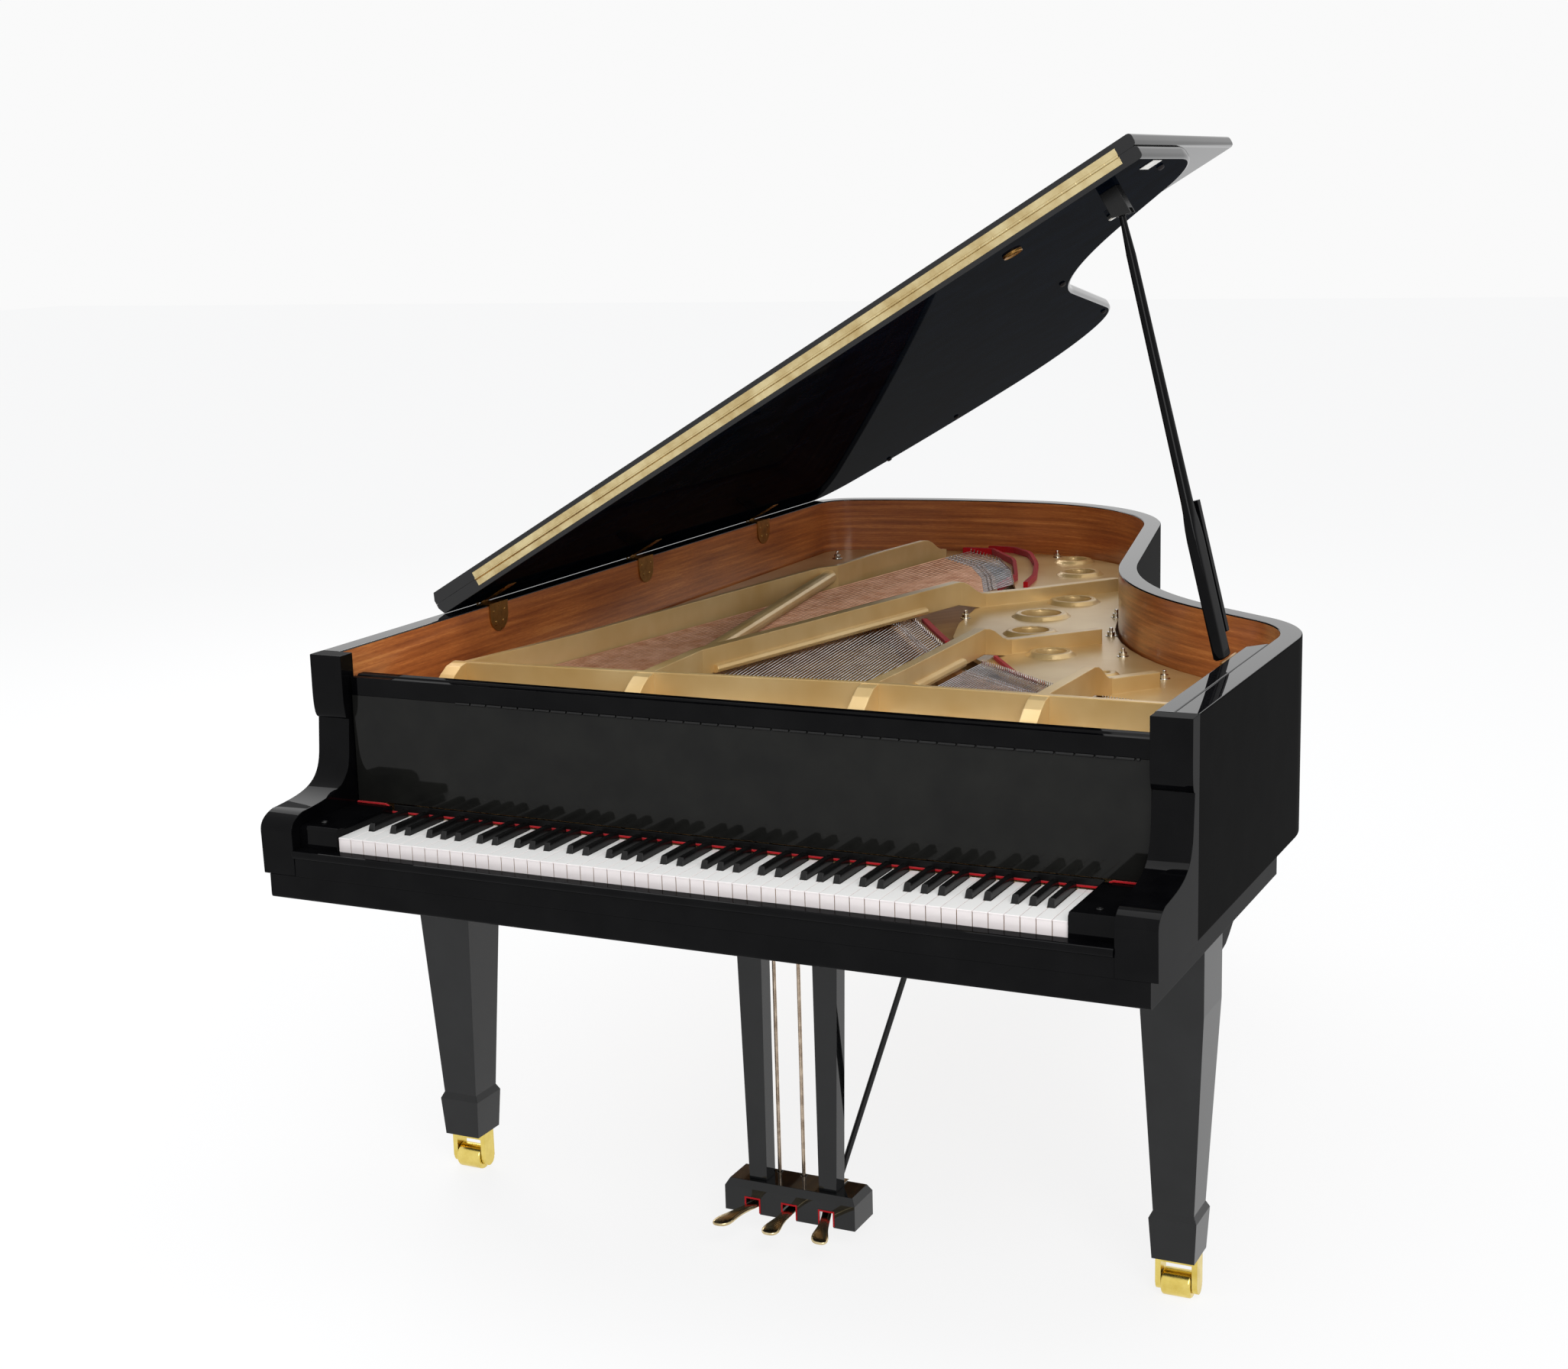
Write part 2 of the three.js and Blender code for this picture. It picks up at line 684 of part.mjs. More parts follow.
// The curved step from a rib that clears the strings down to one that stands on the web
function ribStep(from, to, width, bottom) {
  const run = from.distanceTo(to);
  const lap = width / 4;
  const profile = new THREE.Shape();
  profile.moveTo(-lap, bottom);
  profile.lineTo(run, webUnder);
  profile.lineTo(run + lap, webUnder);
  profile.lineTo(run + lap, lowRibTop);
  profile.bezierCurveTo(run / 2, lowRibTop, run / 2, ribTop, -lap, ribTop);
  return wallAlong(from, to, width, profile.getPoints(curveSteps));
}

const ribs = tallRibShares.map((shares, i) => {
  const tall = shares.map(placed);
  const low = lowRibShares[i].map(placed);
  return joined([
    slab(ribbon(tall, ribWidth), ribBottom, ribTop),
    ribStep(tall[tall.length - 1], low[0], ribWidth, ribBottom),
    slab(ribbon(low, ribWidth), webUnder, lowRibTop),
    buttress(tall[0].x),
  ]);
});
const flange = bassFlangeShares.map(placed);
const lowFlange = lowFlangeShares.map(placed);
const bassBarBottom = bassStringTop + ribClearance;
const bassBarRadius = (bassBarTop - bassBarBottom) / 2;
const bassBarEnds = bassBarShares.map(placed).map(({ x, y }) => new THREE.Vector3(x, y, bassBarTop - bassBarRadius));
const beads = beadShares.flatMap((shares) => {
  const path = shares.map(placed).map(({ x, y }) => new THREE.Vector3(x, y, ribBottom + beadRadius));
  return path.slice(1).map((end, i) => rod(path[i], end, beadRadius, roundSides / 2));
});
const bassButtressX = strikeWindows[0][0].x - buttressWidth / 2 - ribClearance;
const plateWalls = joined([
  crossBar,
  ...ribs,
  ...beads,
  buttress(bassButtressX),
  slab(ribbon(flange, flangeWidth), webUnder, ribTop),
  ribStep(lowFlange[0], lowFlange[1], flangeWidth, webUnder),
  rod(bassBarEnds[0], bassBarEnds[1], bassBarRadius),
]).intersect(slab(plateOutline, webUnder, ribTop));
const holes = plateHoleShares.map(([across, along, sizeShare]) => {
  const { x, y } = placed([across, along]);
  return { x, y, radius: plateHoleRadius * sizeShare };
});
const holeRings = holes.map(({ x, y, radius }) => stack([
  { outline: circle(x, y, radius + plateHoleWall), z: webUnder },
  { outline: circle(x, y, radius + plateHoleWall), z: plateTop },
  { outline: circle(x, y, radius + plateHoleWall * plateHoleCrestShare), z: plateTop + plateHoleRise },
]));
const plateCuts = [
  ...holes.map(({ x, y, radius }) => circle(x, y, radius)),
  openingShares.map(placed),
  ...strikeWindows,
].map((outline) => slab(outline, plateBottom - cutOverrun, plateTop + cutOverrun));
const holeBores = holes.map(({ x, y, radius }) => slab(circle(x, y, radius), plateTop, plateTop + plateHoleRise
  + cutOverrun));
const skirt = slab(rimBand(plateInset, plateInset + plateSkirt, bellyRailFront), soundboardTop + seatGap, webUnder);
const web = plateCuts.reduce((solid, cut) => solid.subtract(cut), joined([
  slab(plateOutline, plateBottom, plateTop),
  skirt,
]));
const rings = holeBores.concat(plateCuts.slice(0, holes.length)).reduce((solid, bore) => solid.subtract(bore),
  joined(holeRings));
addMesh(piano, 'iron_plate', joined([web, rings, plateWalls]), 'gold');

// Strings with the bridge that carries them
function stringBar(from, to, top) {
  return slab(ribbon([from, to], stringSide), top - stringSide, top);
}

function stringSet(bridgePath, count, startShares, bridgeShares, top) {
  return Array.from({ length: count }, (_, i) => {
    const share = i / (count - 1);
    const start = point(mix(startShares, share) * caseHalfWidth, pinRowY);
    const onBridge = pointAlong(bridgePath, mix(bridgeShares, share));
    const reach = start.distanceTo(onBridge);
    const end = start.clone().lerp(onBridge, 1 + hitchLength / reach);
    return stringBar(start, end, top);
  });
}

function bridgeBar(path, top) {
  return slab(ribbon(path, bridgeWidth), soundboardTop + seatGap, top - stringSide / 2);
}

const bassBridge = bassBridgeShares.map(placed);
const bassStrings = stringSet(bassBridge, bassStringCount, bassStartShares, [0, 1], bassStringTop);
addMesh(piano, 'bass_strings', joined([bridgeBar(bassBridge, bassStringTop), ...bassStrings]), 'copper');
const tenorBridge = tenorBridgeShares.map(placed);
const tenorStrings = stringSections.flatMap(({ count, startShares, bridgeShares }) => stringSet(tenorBridge,
  count, startShares, bridgeShares, tenorStringTop));
addMesh(piano, 'treble_strings', joined([bridgeBar(tenorBridge, tenorStringTop), ...tenorStrings]), 'steel');

// Keys: in each octave the sharps split C to E into five tails and F to B into seven
const naturalPitch = keyboardWidth / naturalCount;
const notesPerOctave = 12;
const naturalsPerOctave = 7;
const firstPitch = 9;
const naturalSteps = [0, 2, 4, 5, 7, 9, 11];
const lowGroupNotes = 5;
const lowGroupNaturals = 3;
const highGroupNaturals = naturalsPerOctave - lowGroupNaturals;
const highGroupNotes = notesPerOctave - lowGroupNotes;
const keyBottom = keyTop - keyHeight;
const movingOctave = 3;

function noteShape(note) {
  const pitch = (note + firstPitch) % notesPerOctave;
  const octave = Math.floor((note + firstPitch) / notesPerOctave);
  const firstNatural = naturalSteps.indexOf(firstPitch);
  const octaveLeft = (octave * naturalsPerOctave - firstNatural) * naturalPitch - keyboardWidth / 2;
  const low = pitch < lowGroupNotes;
  const groupLeft = octaveLeft + (low ? 0 : lowGroupNaturals * naturalPitch);
  const tailWidth = low ? (lowGroupNaturals * naturalPitch) / lowGroupNotes
    : (highGroupNaturals * naturalPitch) / highGroupNotes;
  const place = low ? pitch : pitch - lowGroupNotes;
  const centre = groupLeft + (place + 1 / 2) * tailWidth;
  const natural = naturalSteps.indexOf(pitch);
  return { natural, left: octaveLeft + natural * naturalPitch, centre };
}

function sharpKey(centre) {
  const half = sharpWidth / 2;
  const topHalf = sharpTopWidth / 2;
  const front = headLength + sharpFrontGap;
  const lever = slab(rectangle(centre - half, centre + half, front, keyLength), keyBottom, keyTop);
  const cap = stack([
    { outline: rectangle(centre - half, centre + half, front, keyReach), z: keyTop - keyGap },
    { outline: rectangle(centre - topHalf, centre + topHalf, front + sharpSlope, keyReach), z: keyTop + sharpRise },
  ]);
  return lever.add(cap);
}

function naturalKey(note, left) {
  const headLeft = left + keyGap / 2;
  const headRight = left + naturalPitch - keyGap / 2;
  const beside = (other) => other >= 0 && other < noteCount && noteShape(other).natural < 0;
  const tailReach = sharpWidth / 2 + keyGap;
  const tailLeft = beside(note - 1) ? noteShape(note - 1).centre + tailReach : headLeft;
  const tailRight = beside(note + 1) ? noteShape(note + 1).centre - tailReach : headRight;
  const outline = [point(headLeft, 0), point(headRight, 0)];
  if (tailRight < headRight) {
    outline.push(point(headRight, headLength), point(tailRight, headLength));
  }
  outline.push(point(tailRight, keyLength), point(tailLeft, keyLength));
  if (tailLeft > headLeft) {
    outline.push(point(tailLeft, headLength), point(headLeft, headLength));
  }
  return slab(outline, keyBottom, keyTop);
}

const pitchNames = ['c', 'c_sharp', 'd', 'd_sharp', 'e', 'f', 'f_sharp', 'g', 'g_sharp', 'a', 'a_sharp', 'b'];
const fixedKeys = [];
for (let note = 0; note < noteCount; note += 1) {
  const { natural, left, centre } = noteShape(note);
  const key = natural < 0 ? sharpKey(centre) : naturalKey(note, left);
  const pitch = (note + firstPitch) % notesPerOctave;
  if (Math.floor((note + firstPitch) / notesPerOctave) === movingOctave + 1) {
    addMesh(piano, `key_${pitchNames[pitch]}`, key, natural < 0 ? 'ebony' : 'ivory');
  } else {
    fixedKeys.push(key);
  }
}

// Key frame, joined to the fixed keys by the cloth on its balance rail
const frameHalfWidth = keyboardWidth / 2 - keyGap;
const frameBottom = keybedTop + seatGap;
const railTop = keyBottom - seatGap;
const cleatWidth = frontRailHeight / 2;
const balanceProfile = [
  point(balanceY - balanceRailDepth / 2, frameBottom),
  point(balanceY + balanceRailDepth / 2, frameBottom),
  point(balanceY + balanceRidge / 2, railTop),
  point(balanceY - balanceRidge / 2, railTop),
];
const middleLeft = noteShape(movingOctave * notesPerOctave + notesPerOctave - firstPitch).left;
const middleRight = middleLeft + naturalsPerOctave * naturalPitch;
const clothDepth = [balanceY - balanceRidge / 4, balanceY + balanceRidge / 4];
const clothHeight = [railTop - keyGap, keyBottom + keyGap];
const keyFrame = joined([
  barAlongX(balanceProfile, -frameHalfWidth, frameHalfWidth),
  block([-frameHalfWidth, frameHalfWidth], [frontRailY, frontRailY + frontRailDepth],
    [frameBottom, frameBottom + frontRailHeight]),
  block([-frameHalfWidth, frameHalfWidth], [backRailY, backRailY + backRailDepth], [frameBottom, railTop]),
  ...[-frameHalfWidth, frameHalfWidth - cleatWidth].map((left) => block([left, left + cleatWidth],
    [frontRailY, backRailY + backRailDepth], [frameBottom, frameBottom + cleatWidth])),
  block([-frameHalfWidth, middleLeft - keyGap], clothDepth, clothHeight),
  block([middleRight + keyGap, frameHalfWidth], clothDepth, clothHeight),
]);
addMesh(piano, 'keyboard', joined([keyFrame, ...fixedKeys]), 'ivory');

// Action stack behind the fallboard, standing on the keybed beside the keys
const actionInner = keyboardWidth / 2 + keyGap;
const actionOuter = actionInner + actionBracketWidth;
const actionBack = actionFront + actionDepth;
const railsAt = [
  [actionFront, actionBottom],
  [actionBack - actionRailSize, actionBottom],
  [actionBack - actionRailSize, actionTop - actionRailSize],
];
const action = joined([
  block([-actionOuter, -actionInner], [actionFront, actionBack], [keybedTop + seatGap, actionTop]),
  block([actionInner, actionOuter], [actionFront, actionBack], [keybedTop + seatGap, actionTop]),
  ...railsAt.map(([y, z]) => block([-actionInner - cutOverrun, actionInner + cutOverrun],
    [y, y + actionRailSize], [z, z + actionRailSize])),
]);
addMesh(piano, 'action', action, 'maple');

// Key slip and key blocks
const slipProfile = new THREE.Shape();
slipProfile.moveTo(keySlipFront, keybedTop + seatGap);
slipProfile.lineTo(keySlipBack, keybedTop + seatGap);
slipProfile.lineTo(keySlipBack, keySlipTop);
slipProfile.lineTo(keySlipFront, keySlipTop);
slipProfile.quadraticCurveTo(keySlipFront - keySlipLip, keySlipTop, keySlipFront - keySlipLip,
  keySlipTop - keySlipLip);
slipProfile.quadraticCurveTo(keySlipFront - keySlipLip, keySlipTop - keySlipLip * 2, keySlipFront,
  keySlipTop - keySlipLip * 2);
const slipHalf = armHalfInner - seatGap;
addMesh(piano, 'key_slip', barAlongX(slipProfile.getPoints(curveSteps), -slipHalf, slipHalf), 'polish');

const keyBlockProfile = [
  point(keySlipBack + seatGap, keybedTop + seatGap),
  point(keyBlockBack, keybedTop + seatGap),
  point(keyBlockBack, keyBlockTop),
  point(keySlipBack + seatGap + keyBlockRound, keyBlockTop),
  point(keySlipBack + seatGap, keyBlockTop - keyBlockRound),
];
const keyBlockInner = keyboardWidth / 2 + keyGap / 2;
addMesh(piano, 'key_block_bass', barAlongX(keyBlockProfile, -slipHalf, -keyBlockInner), 'polish');
addMesh(piano, 'key_block_treble', barAlongX(keyBlockProfile, keyBlockInner, slipHalf), 'polish');

// Fallboard and its folding lip
const fallBoard = joined([
  block([-fallHalfWidth, fallHalfWidth], [fallFront, fallFront + fallThickness], [fallBottom, fallTop]),
  rod(new THREE.Vector3(-slipHalf, fallPivotY, fallPivotZ), new THREE.Vector3(slipHalf, fallPivotY, fallPivotZ),
    fallPinRadius),
]);
addMesh(piano, 'fallboard', fallBoard, 'satin');
const lipBottom = fallTop + seatGap;
addMesh(piano, 'fallboard_lip', block([-fallHalfWidth, fallHalfWidth], [fallFront, fallFront + lipThickness],
  [lipBottom, lipBottom + lipHeight]), 'polish');

// Front rail behind the fallboard, stepping down towards the pins
const stretcherBack = stretcherFront + stretcherDepth;
const stretcherProfile = [
  point(stretcherFront, stretcherBottom),
  point(stretcherBack, stretcherBottom),
  point(stretcherBack, stretcherTop - stretcherStep * 2),
  point(stretcherBack - stretcherTread, stretcherTop - stretcherStep * 2),
  point(stretcherBack - stretcherTread, stretcherTop - stretcherStep),
  point(stretcherBack - stretcherTread * 3, stretcherTop - stretcherStep),
  point(stretcherBack - stretcherTread * 3, stretcherTop),
  point(stretcherFront + keySlipLip, stretcherTop),
  point(stretcherFront, stretcherTop - keySlipLip),
];
addMesh(piano, 'stretcher', barAlongX(stretcherProfile, -slipHalf, trebleBlockInner - seatGap), 'polish');

// Rim half of each lid hinge: a leaf inside the rim, a strap over its top and a knuckle at its outer edge
function hingeLeaf(y) {
  const half = hingeLeafWidth / 2;
  const inner = -rimInnerFace + seatGap;
  const strapTop = rimTop + seatGap + hingeStrapThickness;
  const leaf = new THREE.Shape();
  leaf.moveTo(y + half, strapTop);
  leaf.lineTo(y - half, strapTop);
  leaf.lineTo(y - half, rimTop - hingeLeafHeight + half);
  leaf.absarc(y, rimTop - hingeLeafHeight + half, half, Math.PI, 2 * Math.PI);
  const tongueHalf = hingeKnuckleLength / 2;
  const tongueOuter = lidPivotX - hingeKnuckleRadius / 2;
  const strapOuter = lidPivotX + hingeStrapSetback;
  return joined([
    barAlongX(leaf.getPoints(curveSteps), inner, inner + hingeLeafThickness),
    block([strapOuter, inner + hingeLeafThickness], [y - half, y + half], [rimTop + seatGap, strapTop]),
    block([tongueOuter, strapOuter + hingeLeafThickness], [y - tongueHalf, y + tongueHalf],
      [rimTop + seatGap, strapTop]),
    block([tongueOuter, lidPivotX + hingeKnuckleRadius / 2], [y - tongueHalf, y + tongueHalf],
      [rimTop + seatGap, lidPivotZ]),
    rod(new THREE.Vector3(lidPivotX, y - tongueHalf, lidPivotZ), new THREE.Vector3(lidPivotX, y + tongueHalf,
      lidPivotZ), hingeKnuckleRadius),
  ]);
}
['front', 'middle', 'rear'].forEach((place, i) => {
  addMesh(piano, `lid_hinge_${place}`, hingeLeaf(lidHingeYs[i]), 'brass');
});

// Lid, drawn closed and then turned up about its hinge line
const lidGroup = new THREE.Group();
lidGroup.position.set(lidPivotX, 0, lidPivotZ);
lidGroup.rotation.y = -lidAngle;
piano.add(lidGroup);

function addToLid(name, solid, finish) {
  addMesh(lidGroup, name, solid, finish).position.set(-lidPivotX, 0, -lidPivotZ);
}

const lidEdgeLevels = [
  { inset: lidEdge - lidOverhang, z: lidBottom },
  { inset: -lidOverhang, z: lidBottom + lidEdge },
  { inset: -lidOverhang, z: lidTop - lidEdge },
  { inset: lidEdge - lidOverhang, z: lidTop },
];
const lidBassFace = -caseHalfWidth - lidBassOverhang;
const lidBassEdge = lidPivotX - lidBassSetout;
const bassEdgeCut = barAlongY([
  point(lidBassFace - 2 * lidEdge, lidBottom - cutOverrun),
  point(lidBassEdge, lidBottom - cutOverrun),
  point(lidBassEdge, lidBottom),
  point(lidBassFace, lidBottom + 2 * lidEdge),
  point(lidBassFace, lidTop + cutOverrun),
  point(lidBassFace - 2 * lidEdge, lidTop + cutOverrun),
], flapFront - cutOverrun, tailY + lidOverhang + cutOverrun);
const knuckleNotches = lidHingeYs.map((y) => block([lidBassFace - cutOverrun, lidPivotX + hingeKnuckleRadius * 3 / 2],
  [y - hingeKnuckleLength / 2 - seatGap, y + hingeKnuckleLength / 2 + seatGap],
  [lidBottom - cutOverrun, lidTop + cutOverrun]));
const lidBoard = stack(lidEdgeLevels.map(({ inset, z }) => ({ outline: rimOutline(inset, foldY + foldGap), z })));
const shortCup = slab(circle(shortCupX, shortCupY, shortCupRadius), lidBottom - shortCupHeight,
  lidBottom + lidEdge);
addToLid('main_lid', [bassEdgeCut, ...knuckleNotches].reduce((solid, cut) => solid.subtract(cut),
  lidBoard.add(shortCup)), 'polish');

// Front flap, drawn closed and then folded back onto the lid about the fold line
const foldZ = lidTop + seatGap / 2;
const flapGroup = new THREE.Group();
flapGroup.position.set(-lidPivotX, foldY, foldZ - lidPivotZ);
flapGroup.rotation.x = Math.PI;
lidGroup.add(flapGroup);
const flapBoard = stack(lidEdgeLevels.map(({ inset, z }) => ({
  outline: rectangle(inset - caseHalfWidth, caseHalfWidth - inset, flapFront + inset + lidOverhang, foldY - foldGap),
  z,
})));
addMesh(flapGroup, 'front_flap', flapBoard.subtract(bassEdgeCut), 'polish').position.set(0, -foldY, -foldZ);

// The prop's length follows from where its leaning line meets the raised lid, less the depth of its cup
const propMiddle = -propBoardThickness / 2;
const leanFromLid = lidAngle - propLean;
const cupDepth = lidPivotZ - lidBottom + cupDrop + seatGap;
const acrossToProp = propX + propMiddle * Math.cos(propLean) - lidPivotX;
const upToProp = propZ + propMiddle * Math.sin(propLean) - lidPivotZ;
const propLength = (acrossToProp * Math.sin(lidAngle) - upToProp * Math.cos(lidAngle) - cupDepth)
  / Math.cos(leanFromLid);
const propSlope = Math.tan(propTilt);

// Where the prop's tip lies on the lid when the lid is drawn closed
const tipAcross = acrossToProp - propLength * Math.sin(propLean);
const tipUp = upToProp + propLength * Math.cos(propLean);
const cupX = lidPivotX + tipAcross * Math.cos(lidAngle) + tipUp * Math.sin(lidAngle) + seatGap * Math.sin(leanFromLid);
const cupZ = lidPivotZ - cupDepth + seatGap * Math.cos(leanFromLid);
const cupY = propY + propLength * propSlope;
const cupHalf = cupLength / 2;
const cupFall = cupHalf * Math.tan(leanFromLid);
const cupProfile = (drop) => [
  point(cupX - cupHalf, lidBottom - seatGap),
  point(cupX - cupHalf, cupZ + cupFall - drop),
  point(cupX + cupHalf, cupZ - cupFall - drop),
  point(cupX + cupHalf, lidBottom - seatGap),
];
const earInner = propTipWidth / 2 + cupSideGap;
const earOuter = earInner + cupEar;
addToLid('prop_cup', joined([
  barAlongY(cupProfile(0), cupY - earOuter, cupY + earOuter),
  barAlongY(cupProfile(cupEarDrop), cupY - earOuter, cupY - earInner),
  barAlongY(cupProfile(cupEarDrop), cupY + earInner, cupY + earOuter),
]), 'satin');

// Prop hinge leaf on the treble arm, with the barrel that the prop turns on
const leafInner = trebleBlockInner - seatGap;
const leafYs = [propY - propHingeLength / 2, propY + propHingeLength / 2];
addMesh(piano, 'prop_hinge', joined([
  block([leafInner - hingeLeafThickness, leafInner], leafYs, [propZ - propLeafHeight, propZ]),
  rod(new THREE.Vector3(propX, leafYs[0], propZ), new THREE.Vector3(propX, leafYs[1], propZ), propBarrelRadius),
]), 'brass');

// Long prop: a board with a slimmer stick spliced into it, leaning on its hinge
const propGroup = new THREE.Group();
propGroup.position.set(propX, propY, propZ);
propGroup.rotation.y = -propLean;
piano.add(propGroup);
const boardFoot = propBarrelRadius + seatGap;
const boardHalf = propBoardWidth / 2;
const boardProfile = [
  point(boardFoot * propSlope - boardHalf, boardFoot),
  point(boardFoot * propSlope + boardHalf, boardFoot),
  point(propBoardLength * propSlope + boardHalf, propBoardLength),
  point(propBoardLength * propSlope - boardHalf, propBoardLength),
];
function stickLevel(z, width, thickness) {
  const y = z * propSlope;
  return {
    outline: rectangle(propMiddle - thickness / 2, propMiddle + thickness / 2, y - width / 2, y + width / 2),
    z,
  };
}
const stick = stack([
  stickLevel(propBoardLength - propSplice, propStickWidth, propStickThickness),
  stickLevel(propLength, propTipWidth, propTipThickness),
]);
addMesh(propGroup, 'long_prop', barAlongX(boardProfile, -propBoardThickness, 0).add(stick), 'polish');

// Short prop on a pin through the side of the board
const shortSide = boardHalf + shortPropSideGap;
const shortLevel = (z) => {
  const front = shortSide + z * propSlope;
  return { outline: rectangle(-propBoardThickness, 0, front, front + shortPropWidth), z };
};
const shortPin = rod(
  new THREE.Vector3(propMiddle, boardHalf + (shortPropFoot + pedalPinRadius) * propSlope + seatGap, shortPropFoot),
  new THREE.Vector3(propMiddle, shortSide + shortPropFoot * propSlope + shortPropWidth / 2, shortPropFoot),
  pedalPinRadius,
);
const shortStick = stack([
  shortLevel(shortPropFoot - propBoardThickness / 2),
  shortLevel(shortPropFoot + shortPropLength),
]);
addMesh(propGroup, 'short_prop', shortStick.add(shortPin), 'polish');

// Legs
function leg(x, y, top) {
  return stack([
    { outline: squareAt(x, y, legFootHalf), z: legFoot },
    { outline: squareAt(x, y, legFlareHalf), z: legFlareHeight },
    { outline: squareAt(x, y, legAnkleHalf), z: legAnkle },
    { outline: squareAt(x, y, legTopHalf), z: legShoulder },
    { outline: squareAt(x, y, legTopHalf), z: top },
  ]);
}
const legPlaces = [
  { name: 'bass', x: -legX, y: legY, top: keybedBottom - seatGap },
  { name: 'treble', x: legX, y: legY, top: keybedBottom - seatGap },
  { name: 'rear', x: rearLegX, y: rearLegY, top: rimBottom - seatGap },
];

// Casters: a forked bracket with its axle, and a bored roller that stands on one of its facets
function casterFork() {
  const half = forkWidth / 2;
  const plateZ = legFoot - seatGap;
  const profile = [
    point(-half, casterRadius),
    point(forkArm - half, casterRadius),
    point(forkArm - half, plateZ - forkPlate),
    point(half - forkArm, plateZ - forkPlate),
    point(half - forkArm, casterRadius),
    point(half, casterRadius),
    point(half, plateZ),
    point(-half, plateZ),
  ];
  const along = (from, to, radius) => rod(new THREE.Vector3(from, 0, casterRadius),
    new THREE.Vector3(to, 0, casterRadius), radius);
  return joined([
    barAlongY(profile, -forkDepth / 2, forkDepth / 2),
    along(-half, forkArm - half, forkEye),
    along(half - forkArm, half, forkEye),
    along(-half + forkArm / 2, half - forkArm / 2, axleRadius),
  ]);
}

function casterRoller() {
  const half = casterWidth / 2;
  const facetHalfTurn = Math.PI / rollerSides;
  const corner = 1 / Math.cos(facetHalfTurn);
  const bore = (axleRadius + axleGap) * corner;
  const tread = casterRadius * corner;
  const profile = [
    point(bore, -half),
    point(tread - casterEdge, -half),
    point(tread, casterEdge - half),
    point(tread, half - casterEdge),
    point(tread - casterEdge, half),
    point(bore, half),
    point(bore, -half),
  ];
  const geometry = new THREE.LatheGeometry(profile, rollerSides, facetHalfTurn);
  geometry.rotateZ(Math.PI / 2);
  geometry.translate(0, 0, casterRadius);
  return solidOf(geometry);
}

for (const { name, x, y, top } of legPlaces) {
  addMesh(piano, `leg_${name}`, leg(x, y, top), 'polish');
  addMesh(piano, `caster_fork_${name}`, casterFork(), 'brass').position.set(x, y, 0);
  addMesh(piano, `caster_roller_${name}`, casterRoller(), 'brass').position.set(x, y, 0);
}

// Pedal lyre: head, two flat posts, box and one brace
const lyreHeadTop = keybedBottom - seatGap;
const lyreHeadBottom = lyreHeadTop - lyreHeadHeight;
addMesh(piano, 'lyre_head', block([lyreX - lyreHeadHalf, lyreX + lyreHeadHalf],
  [lyreFront, lyreFront + lyreHeadDepth], [lyreHeadBottom, lyreHeadTop]), 'polish');
[['bass', -1], ['treble', 1]].forEach(([name, side]) => {
  const level = (outer, inner, z) => {
    const [left, right] = [lyreX + side * outer, lyreX + side * inner].sort((a, b) => a - b);
    return { outline: rectangle(left, right, postFront, postFront + postDepth), z };
  };
  addMesh(piano, `lyre_post_${name}`, stack([
    level(postOuterFoot, postInnerFoot, lyreBoxTop + seatGap),
    level(postOuterTop, postInnerTop, lyreHeadBottom - seatGap),
  ]), 'polish');
});

// The centre line of a pedal in plan: from its rod through its slot to a splayed toe
function pedalX(side, y) {
  const slotX = side * pedalSpacing;
  const x = y > lyreFront ? slotX + ((rodSpacing - pedalSpacing) * side * (y - lyreFront)) / (rodY - lyreFront)
    : slotX + (side * pedalSplay * (lyreFront - y)) / (lyreFront - pedalTipY);
  return lyreX + x;
}

const lyreBack = lyreFront + lyreDepth;
const boxLevel = (inset, z) => ({
  outline: rectangle(lyreX - lyreBoxHalf + inset, lyreX + lyreBoxHalf - inset, lyreFront + inset, lyreBack - inset),
  z,
});
let lyreBox = stack([
  boxLevel(0, lyreBoxBottom),
  boxLevel(0, lyreBoxTop - lyreLidHeight),
  boxLevel(lyreLidInset, lyreBoxTop),
]);
const channelBack = (pedalRearY + lyreBack) / 2;
const slotDepth = slotHalf / 2;
for (const side of [-1, 0, 1]) {
  const channel = (front, back, top) => slab(ribbon([point(pedalX(side, front), front),
    point(pedalX(side, Math.min(back, lyreFront + lyreDepth)), back)], slotHalf * 2), lyreBoxBottom - cutOverrun, top);
  lyreBox = lyreBox
    .subtract(channel(lyreFront - cutOverrun, lyreFront + slotDepth + cutOverrun, slotTop))
    .subtract(channel(lyreFront + slotDepth, channelBack, channelTop))
    .subtract(slab(circle(lyreX + side * rodSpacing, rodY, rodHoleRadius), channelTop - cutOverrun,
      lyreBoxTop + cutOverrun));
}
addMesh(piano, 'lyre_box', lyreBox, 'polish');

